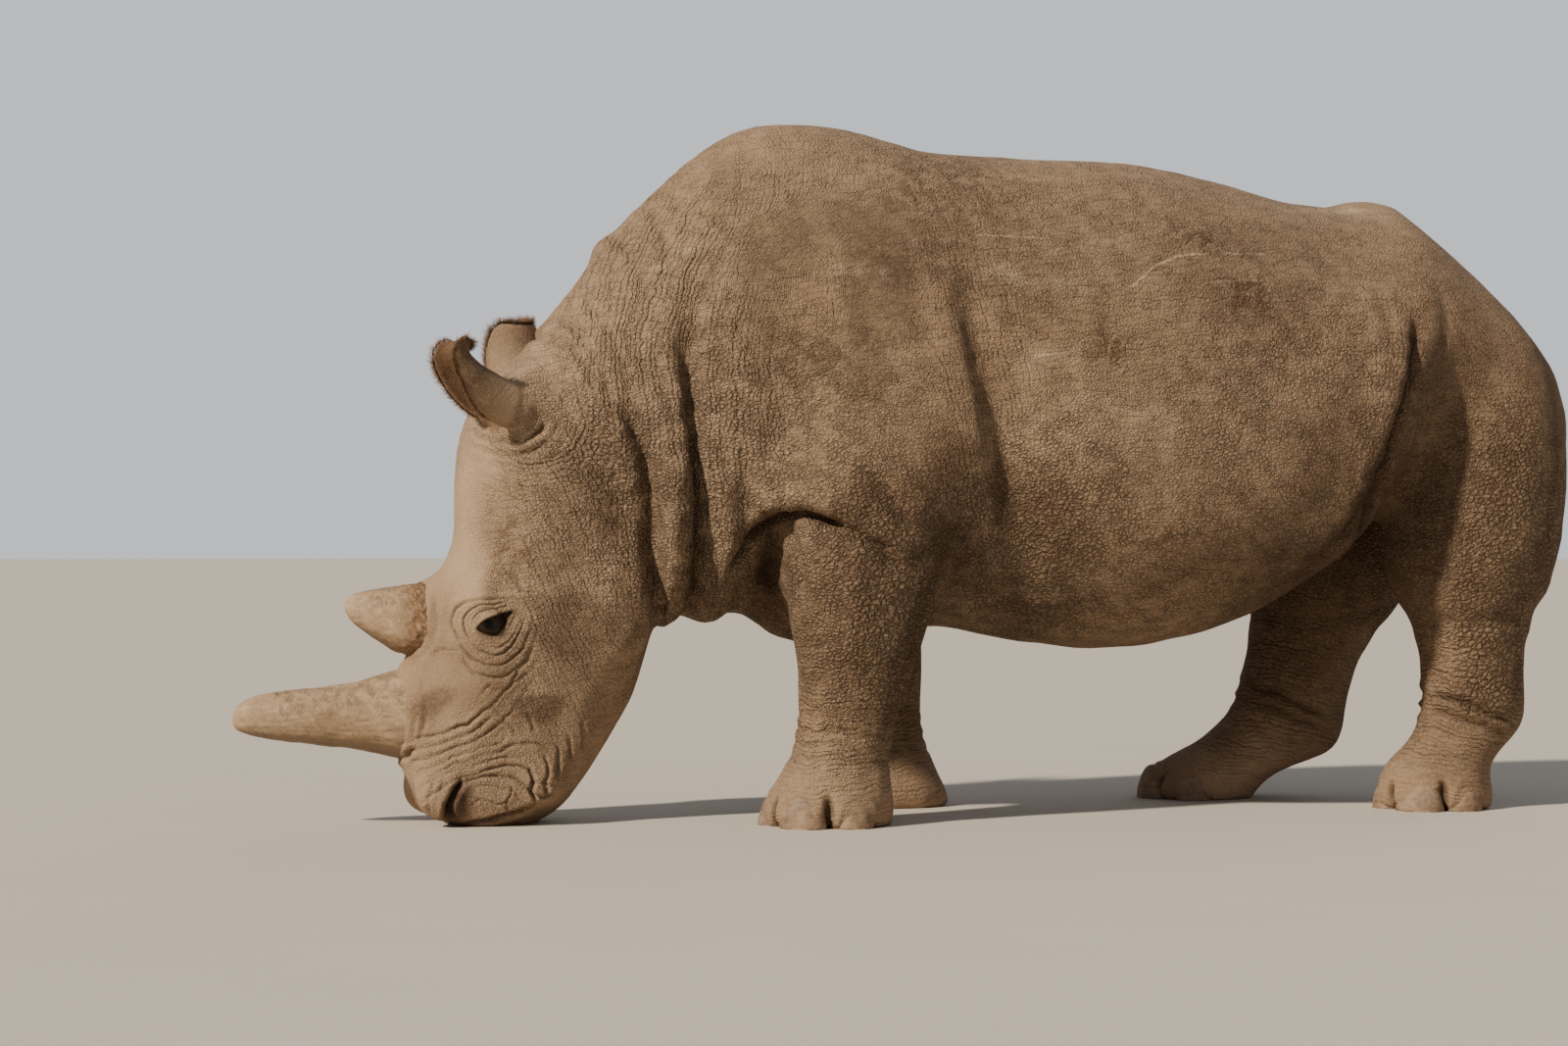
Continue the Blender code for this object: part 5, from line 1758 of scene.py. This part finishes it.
@dataclass(frozen=True)
class Horn:
    """A horn made finer than its node: fibrous, nicked and frayed round its base.

    frayed: Share of its length that is frayed.
    shag: How rough the frayed part is.
    belly: How far its underside hangs.
    nicks: Each as x, y, z, size and depth.
    scuffs: Each as x, y, z and size.
    """

    node: str
    frayed: float
    shag: float
    belly: float = 0.0
    nicks: tuple[tuple[float, float, float, float, float], ...] = ()
    scuffs: tuple[tuple[float, float, float, float], ...] = ()

    def build(self, material: bpy.types.Material) -> None:
        """Makes the horn.

        Args:
            material: Its finish.
        """
        obj = object_of(self.node + "_fine", squared(node_copy(self.node), 60))
        with_modifier(obj, "SUBSURF", levels=4, render_levels=4)
        points, normals = points_of(obj.data), normals_of(obj.data)
        low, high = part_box(self.node)
        share = (points[:, 0] - low.x) / (high.x - low.x)
        base = smooth_step(1 - self.frayed, 1 - 0.35 * self.frayed, share)
        fibres, lumps = SmoothNoise(31), SmoothNoise(32)
        strands = points * (0.25, 1.0, 1.0)
        rise = 0.0012 * fibres(strands, 0.008) + 0.0016 * lumps(points, 0.05)
        rise += base * self.shag * (1 + fibres(points, 0.01))
        rise += self.belly * smooth_step(0.0, -0.8, normals[:, 2]) * bell(share - 0.62, 0.34)
        rise *= smooth_step(0.0, 0.06, share)
        nick, scuff = np.zeros(len(points)), np.zeros(len(points))
        # Each of the nicks is sunk, and darkened with painted shade.
        for *place, size, depth in self.nicks:
            found = bell(np.linalg.norm((points - place) * (1.7, 0.7, 0.7), axis=1), size)
            rise -= depth * found
            nick = np.maximum(nick, 0.9 * found)
        for *place, size in self.scuffs:
            found = bell(np.linalg.norm((points - place) * (1.6, 0.5, 0.7), axis=1), size)
            scuff = np.maximum(scuff, found)
        set_points(obj.data, points + normals * rise[:, None])
        # Painted shade on the faces that look down.
        under = smooth_step(-0.45, -0.95, normals[:, 2])
        over = smooth_step(-0.2, 0.6, normals[:, 2]) * smooth_step(0.1, 0.35, share)
        keep_values(obj.data, base=base, nick=nick, scuff=scuff, under=under, over=over)
        finished(obj, "horn", material, self.node)


HORNS = (
    Horn("horn_front", 0.07, 0.0008, nicks=((-1.565, -0.014, 0.312, 0.008, 0.008),)),
    Horn("horn_rear", 0.55, 0.003, 0.014,
         scuffs=((-1.375, -0.034, 0.525, 0.012), (-1.362, -0.038, 0.495, 0.01))),
)


@dataclass(frozen=True)
class Nail:
    """A nail made finer than its node, with a worn and uneven lower edge."""

    node: str

    def build(self, material: bpy.types.Material) -> None:
        """Makes the nail.

        Args:
            material: Its finish.
        """
        obj = object_of(self.node + "_fine", squared(node_copy(self.node), 50))
        sharp = obj.data.attributes.new("crease_edge", "FLOAT", "EDGE")
        verts = obj.data.vertices
        low = [all(verts[end].co.z < 1e-4 for end in edge.vertices) for edge in obj.data.edges]
        sharp.data.foreach_set("value", np.array(low, np.float32))
        with_modifier(obj, "SUBSURF", levels=3, render_levels=3)
        points, normals = points_of(obj.data), normals_of(obj.data)
        noise = SmoothNoise(41)
        rise = 0.0012 * noise(points, 0.03) + 0.0005 * noise(points * (1, 1, 2.5), 0.012)
        worn = smooth_step(0.012, 0.0, points[:, 2])
        moved = points + normals * (rise - 0.002 * worn)[:, None]
        moved[:, 2] = np.where(points[:, 2] < 5e-4, 0.0, np.maximum(moved[:, 2], 0.0))
        set_points(obj.data, moved)
        finished(obj, "nail", material, self.node)


@dataclass(frozen=True)
class Eyeball:
    """A wet ball with a slightly raised clear front."""

    seat: EyeSeat
    bulge: float = 0.0015

    def build(self, material: bpy.types.Material) -> None:
        """Makes the eyeball.

        Args:
            material: Its finish.
        """
        node = "eye_left" if self.seat.side is Side.LEFT else "eye_right"
        bm = bmesh.new()
        bmesh.ops.create_uvsphere(bm, u_segments=64, v_segments=40, radius=self.seat.radius)
        gaze = Vector((-0.3, self.seat.side.value, -0.12)).normalized()
        for vert in bm.verts:
            towards = max(0.0, vert.co.normalized().dot(gaze))
            vert.co += vert.co.normalized() * self.bulge * towards**8
        centre = Vector(self.seat.centre)
        bmesh.ops.translate(bm, verts=bm.verts, vec=centre)
        obj = object_of(node + "_wet", bm)
        ways = points_of(obj.data) - self.seat.centre
        ways /= np.linalg.norm(ways, axis=1)[:, None]
        angle = np.arccos(np.clip(ways @ np.array(gaze), -1, 1))
        keep_values(obj.data, from_pupil=angle / (math.pi / 2))
        finished(obj, "eye", material, node)


# ------------------------------------
# Hair


@dataclass(frozen=True)
class Hair:
    """One tuft: its root, the way it leaves, the way its tip bends, and its place on the bake map."""

    root: Vector
    way: Vector
    bend: Vector
    length: float
    width: float
    place: tuple[float, float]


@dataclass
class Coat:
    """Tufts joined into one piece, each a thin bent spike.

    sides: How many each tuft has.
    rings: Where it has rings between its root and its tip, in shares of its length.
    taper: Share of its width that is gone at its tip.
    patch: Width of a tuft's own patch of the bake map.
    """

    name: str
    finish: HairFinish
    sides: int = 3
    rings: tuple = (0.3, 0.6, 0.85)
    taper: float = 0.7
    patch: float = 0.003

    def pattern(self) -> bmesh.types.BMesh:
        """A straight tuft with a radius of 1, from its root at z 0 to its tip at z 1."""
        bm = bmesh.new()
        turn = Matrix.Rotation(math.radians(-90), 4, "Z")
        bmesh.ops.create_circle(bm, cap_ends=True, segments=self.sides, radius=1, matrix=turn)
        rim = list(bm.edges)
        for height in (*self.rings, 1.0):
            made = bmesh.ops.extrude_edge_only(bm, edges=rim)["geom"]
            ring = [part for part in made if isinstance(part, bmesh.types.BMVert)]
            for vert in ring:
                vert.co.z = height
            rim = [edge for edge in bm.edges if set(edge.verts) <= set(ring)]
        bmesh.ops.pointmerge(bm, verts=ring, merge_co=(0, 0, 1))
        bmesh.ops.recalc_face_normals(bm, faces=bm.faces)
        return bm

    def build(self, hairs: list[Hair]) -> None:
        """Makes the piece.

        Args:
            hairs: Its tufts.
        """
        pattern = self.pattern()
        shape = np.array([vert.co[:] for vert in pattern.verts])
        bm = bmesh.new()
        join(bm, pattern, len(hairs))
        obj = object_of(self.name, bm)
        rows = [(*hair.root, *hair.way, *hair.bend, hair.length, hair.width) for hair in hairs]
        root, way, bend, length, width = np.split(np.array(rows)[:, None], (3, 6, 9, 10), axis=2)
        across = np.cross(way, bend)
        across /= np.linalg.norm(across, axis=2, keepdims=True)
        thick = np.cross(way, across)
        x, y, share = (column[:, None] for column in shape.T)
        radius = width * (1 - self.taper * share) / 2
        points = root + (way + bend * share) * length * share + (across * x + thick * y) * radius
        set_points(obj.data, points.reshape(-1, 3))
        keep_values(obj.data, tipward=np.tile(shape[:, 2], len(hairs)))
        layer = obj.data.uv_layers.new(name="OFBake")
        index = np.empty(len(obj.data.loops), np.int64)
        obj.data.loops.foreach_get("vertex_index", index)
        patches = np.column_stack([0.5 + 0.5 * shape[:, 0], shape[:, 2]]) * self.patch
        places = np.array([hair.place for hair in hairs])[index // len(shape)]
        layer.data.foreach_set("uv", (places + patches[index % len(shape)]).ravel())
        finished(obj, "hide", self.finish.build())


EAR_HAIR = HairFinish("ear_hair", (0.085, 0.045, 0.023), (0.34, 0.205, 0.112))
TAIL_HAIR = HairFinish("tail_hair", (0.014, 0.01, 0.008), (0.05, 0.034, 0.024))
LASH_HAIR = HairFinish("lash_hair", (0.02, 0.013, 0.01), (0.05, 0.032, 0.022))


@dataclass(frozen=True)
class EarFringe:
    """Hair that stands along an ear's rim, thicker towards its tip, and lies over its lining."""

    ear: Ear
    count: int = 2600
    lining: int = 1500
    length: float = 0.024

    def place(self, across: float, share: float) -> tuple[float, float]:
        """Where a tuft's root lies on the ear's unrolled sheet, in the bake map."""
        start = 0.6 if self.ear.side is Side.LEFT else 0.1
        return 0.02 + 0.4 * share, start + 0.35 * (across + 1) / 2

    def hairs(self) -> list[Hair]:
        """Every tuft of the fringe."""
        draw = np.random.default_rng(51 if self.ear.side is Side.LEFT else 52)
        made = []
        for _ in range(self.count):
            along = draw.uniform(0.3, 1.28)
            edge = 1.0 if draw.uniform() < 0.5 else -1.0
            if along > 1.0:
                across, share = edge * draw.uniform(0.0, 1.0), 1.0
            else:
                across, share = edge, along
            across = float(np.clip(across + draw.normal(0, 0.02), -1.02, 1.02))
            share = float(np.clip(share + draw.normal(0, 0.004), 0, 1.0))
            root = self.ear.place(across, share)
            spine, _, opening = self.ear.frames(share)
            ahead = self.ear.place(across, min(share + 0.03, 1.0))
            ahead = ahead - self.ear.place(across, share - 0.03)
            out, on = (0.9, 0.9) if share < 1 else (0.3, 1.2)
            way = (root - spine).normalized() * out + ahead.normalized() * on
            way += Vector(draw.normal(0, 0.15, 3))
            way.normalize()
            bend = opening * 0.25 + Vector((0, 0, -0.05)) + Vector(draw.normal(0, 0.1, 3))
            longer = 0.55 + 0.45 * smooth_step(0.3, 0.8, np.array(along))
            length = float(self.length * draw.uniform(0.45, 1.15) * longer)
            root = root + (spine - root).normalized() * 0.002
            width = draw.uniform(0.0006, 0.0012)
            made.append(Hair(root, way, bend, length, width, self.place(across, share)))
        for _ in range(self.lining):
            across, share = float(draw.uniform(-0.96, 0.96)), float(draw.uniform(0.35, 0.98))
            spine, _, opening = self.ear.frames(share)
            root = self.ear.place(across, share)
            inwards = (spine - root).normalized()
            ahead = self.ear.place(across, share + 0.02) - self.ear.place(across, share - 0.02)
            way = ahead.normalized() + inwards * 0.3 + opening * 0.2
            way = (way + Vector(draw.normal(0, 0.15, 3))).normalized()
            root = root + inwards * (self.ear.wall / 2 - 0.001)
            length = float(self.length * draw.uniform(0.35, 0.75))
            width = draw.uniform(0.0007, 0.0013)
            made.append(Hair(root, way, inwards * -0.1, length, width, self.place(across, share)))
        return made


@dataclass(frozen=True)
class TailBrush:
    """Coarse black hair in two rows down the edges of the tail's end."""

    count: int = 1300
    top: float = 0.2

    def hairs(self) -> list[Hair]:
        """Every tuft of the brush."""
        draw = np.random.default_rng(61)
        points = points_of(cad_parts["tail"].data)
        low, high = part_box("tail")
        made = []
        for _ in range(self.count):
            height = low.z + 0.008 + self.top * draw.uniform(0, 1) ** 1.4
            ring = points[np.abs(points[:, 2] - height) < 0.06]
            centre = ring.mean(0)
            radius = 0.014 + 0.05 * (height - low.z)
            side = -1 if draw.uniform() < 0.5 else 1
            turn = side * math.pi / 2 + draw.normal(0, 0.55)
            out = Vector((math.cos(turn), math.sin(turn), 0))
            root = Vector((centre[0], centre[1], height)) + out * radius * 0.8
            drop = 0.55 + 0.9 * (1 - (height - low.z) / self.top)
            way = (out * 0.55 + Vector((0, 0, -drop)) + Vector(draw.normal(0, 0.1, 3))).normalized()
            bend = Vector((0, 0, -0.22)) - out * 0.18 + Vector(draw.normal(0, 0.05, 3))
            share = (height - low.z) / (high.z - low.z)
            place = (0.55 + 0.4 * (turn / math.tau + 0.5), 0.55 + 0.4 * share)
            length, width = draw.uniform(0.05, 0.105), draw.uniform(0.0012, 0.0022)
            made.append(Hair(root, way, bend, length, width, place))
        return made


@dataclass(frozen=True)
class Lashes:
    """Short lashes along the upper lid."""

    seat: EyeSeat
    count: int = 46

    def hairs(self) -> list[Hair]:
        """Every lash."""
        draw = np.random.default_rng(71)
        side, turn = self.seat.side.value, math.radians(self.seat.tip)
        along = Vector((math.cos(turn), 0, math.sin(turn)))
        up = Vector((-math.sin(turn), 0, math.cos(turn)))
        out = Vector((0, side, 0))
        lid = smooth_line(self.seat.outline[1:5], 8)
        made = []
        for _ in range(self.count):
            spot = lid[draw.integers(len(lid))] + draw.normal(0, 0.0008, 2)
            ball = math.sqrt(max(self.seat.radius**2 - float(spot @ spot), self.seat.hollow**2))
            root = Vector(self.seat.centre) + along * spot[0] + up * spot[1] + out * (ball + 0.002)
            way = (out * 0.9 - up * 0.35 + along * draw.normal(-0.1, 0.2)).normalized()
            bend = up * 0.25 - along * 0.1
            place = (0.5 + spot[0], 0.5 + spot[1])
            made.append(Hair(root, way, bend, draw.uniform(0.008, 0.016), 0.0007, place))
        return made


# ------------------------------------
# Studio


@dataclass(frozen=True)
class Studio:
    """A plain pale floor, a soft warm sun from ahead and above, and the camera."""

    floor_colour: tuple = (0.6, 0.545, 0.47)
    air_colour: tuple = (0.86, 0.88, 0.92, 1.0)
    air_glow: float = 0.32
    backdrop: float = 0.85
    suns: tuple = (
        ("key", (-0.75, -0.36, 0.55), 5.3, 3.0, (1.0, 0.9, 0.76)),
        ("fill", (0.6, 0.6, 0.55), 0.35, 40.0, (0.86, 0.92, 1.0)),
    )
    camera_place: tuple = (-2.468, -7.949, 0.712)
    camera_turn: float = -15.0
    lens: float = 77.58

    def floor(self) -> None:
        """The floor."""
        bm = bmesh.new()
        bmesh.ops.create_circle(bm, cap_ends=True, segments=96, radius=60)
        obj = object_of("studio_floor", bm)
        shader = Shader("studio_floor", 0.95, Specular_IOR_Level=0.1)
        tone = shader.noise(0.6, 2.0)
        warm = tuple(0.94 * part for part in self.floor_colour)
        colour = shader.blend(warm, self.floor_colour, tone)
        obj.data.materials.append(shader.dress(colour, tone * 0.0))

    def air(self) -> None:
        """Dim light from all round, before a brighter backdrop."""
        world = bpy.data.worlds.new("studio")
        world.use_nodes = True
        nodes, links = world.node_tree.nodes, world.node_tree.links
        glow, backdrop = nodes["Background"], nodes.new("ShaderNodeBackground")
        for background, strength in ((glow, self.air_glow), (backdrop, self.backdrop)):
            background.inputs["Color"].default_value = self.air_colour
            background.inputs["Strength"].default_value = strength
        seen, mix = nodes.new("ShaderNodeLightPath"), nodes.new("ShaderNodeMixShader")
        links.new(seen.outputs["Is Camera Ray"], mix.inputs[0])
        links.new(glow.outputs[0], mix.inputs[1])
        links.new(backdrop.outputs[0], mix.inputs[2])
        links.new(mix.outputs[0], nodes["World Output"].inputs["Surface"])
        bpy.context.scene.world = world

    def sun(self, name: str, way: tuple, strength: float, spread: float, colour: tuple) -> None:
        """One sun that shines from a way, with a spread in degrees."""
        lamp = bpy.data.lights.new(name, "SUN")
        lamp.energy, lamp.angle, lamp.color = strength, math.radians(spread), colour
        obj = bpy.data.objects.new(name, lamp)
        obj.rotation_euler = Vector(way).to_track_quat("Z", "Y").to_euler()
        bpy.context.scene.collection.objects.link(obj)

    def build(self) -> None:
        """Sets up floor, lights and camera."""
        self.floor()
        self.air()
        for sun in self.suns:
            self.sun(*sun)
        camera = bpy.data.cameras.new("camera")
        camera.lens, camera.sensor_width = self.lens, 36.0
        obj = bpy.data.objects.new("camera", camera)
        obj.location = self.camera_place
        obj.rotation_euler = (math.radians(90), 0, math.radians(self.camera_turn))
        bpy.context.scene.collection.objects.link(obj)
        bpy.context.scene.camera = obj


def main() -> None:
    """Builds every piece in order."""
    logging.basicConfig(level=logging.INFO, format="%(message)s")
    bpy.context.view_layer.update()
    hide = Hide()
    hide.build()
    horn = HornFinish().build()
    for part in HORNS:
        part.build(horn)
    nail = NailFinish().build()
    for leg, name in product(LEGS, NAILS):
        Nail(f"{leg}_nail_{name}").build(nail)
    eye = EyeFinish().build()
    for seat in hide.seats:
        Eyeball(seat).build(eye)
        Coat(f"lashes_{seat.side.name.lower()}", LASH_HAIR).build(Lashes(seat).hairs())
    for ear in EARS:
        Coat(f"{ear.name}_fringe", EAR_HAIR).build(EarFringe(ear).hairs())
    Coat("tail_brush", TAIL_HAIR).build(TailBrush().hairs())
    Studio().build()


if __name__ == "__main__":
    main()
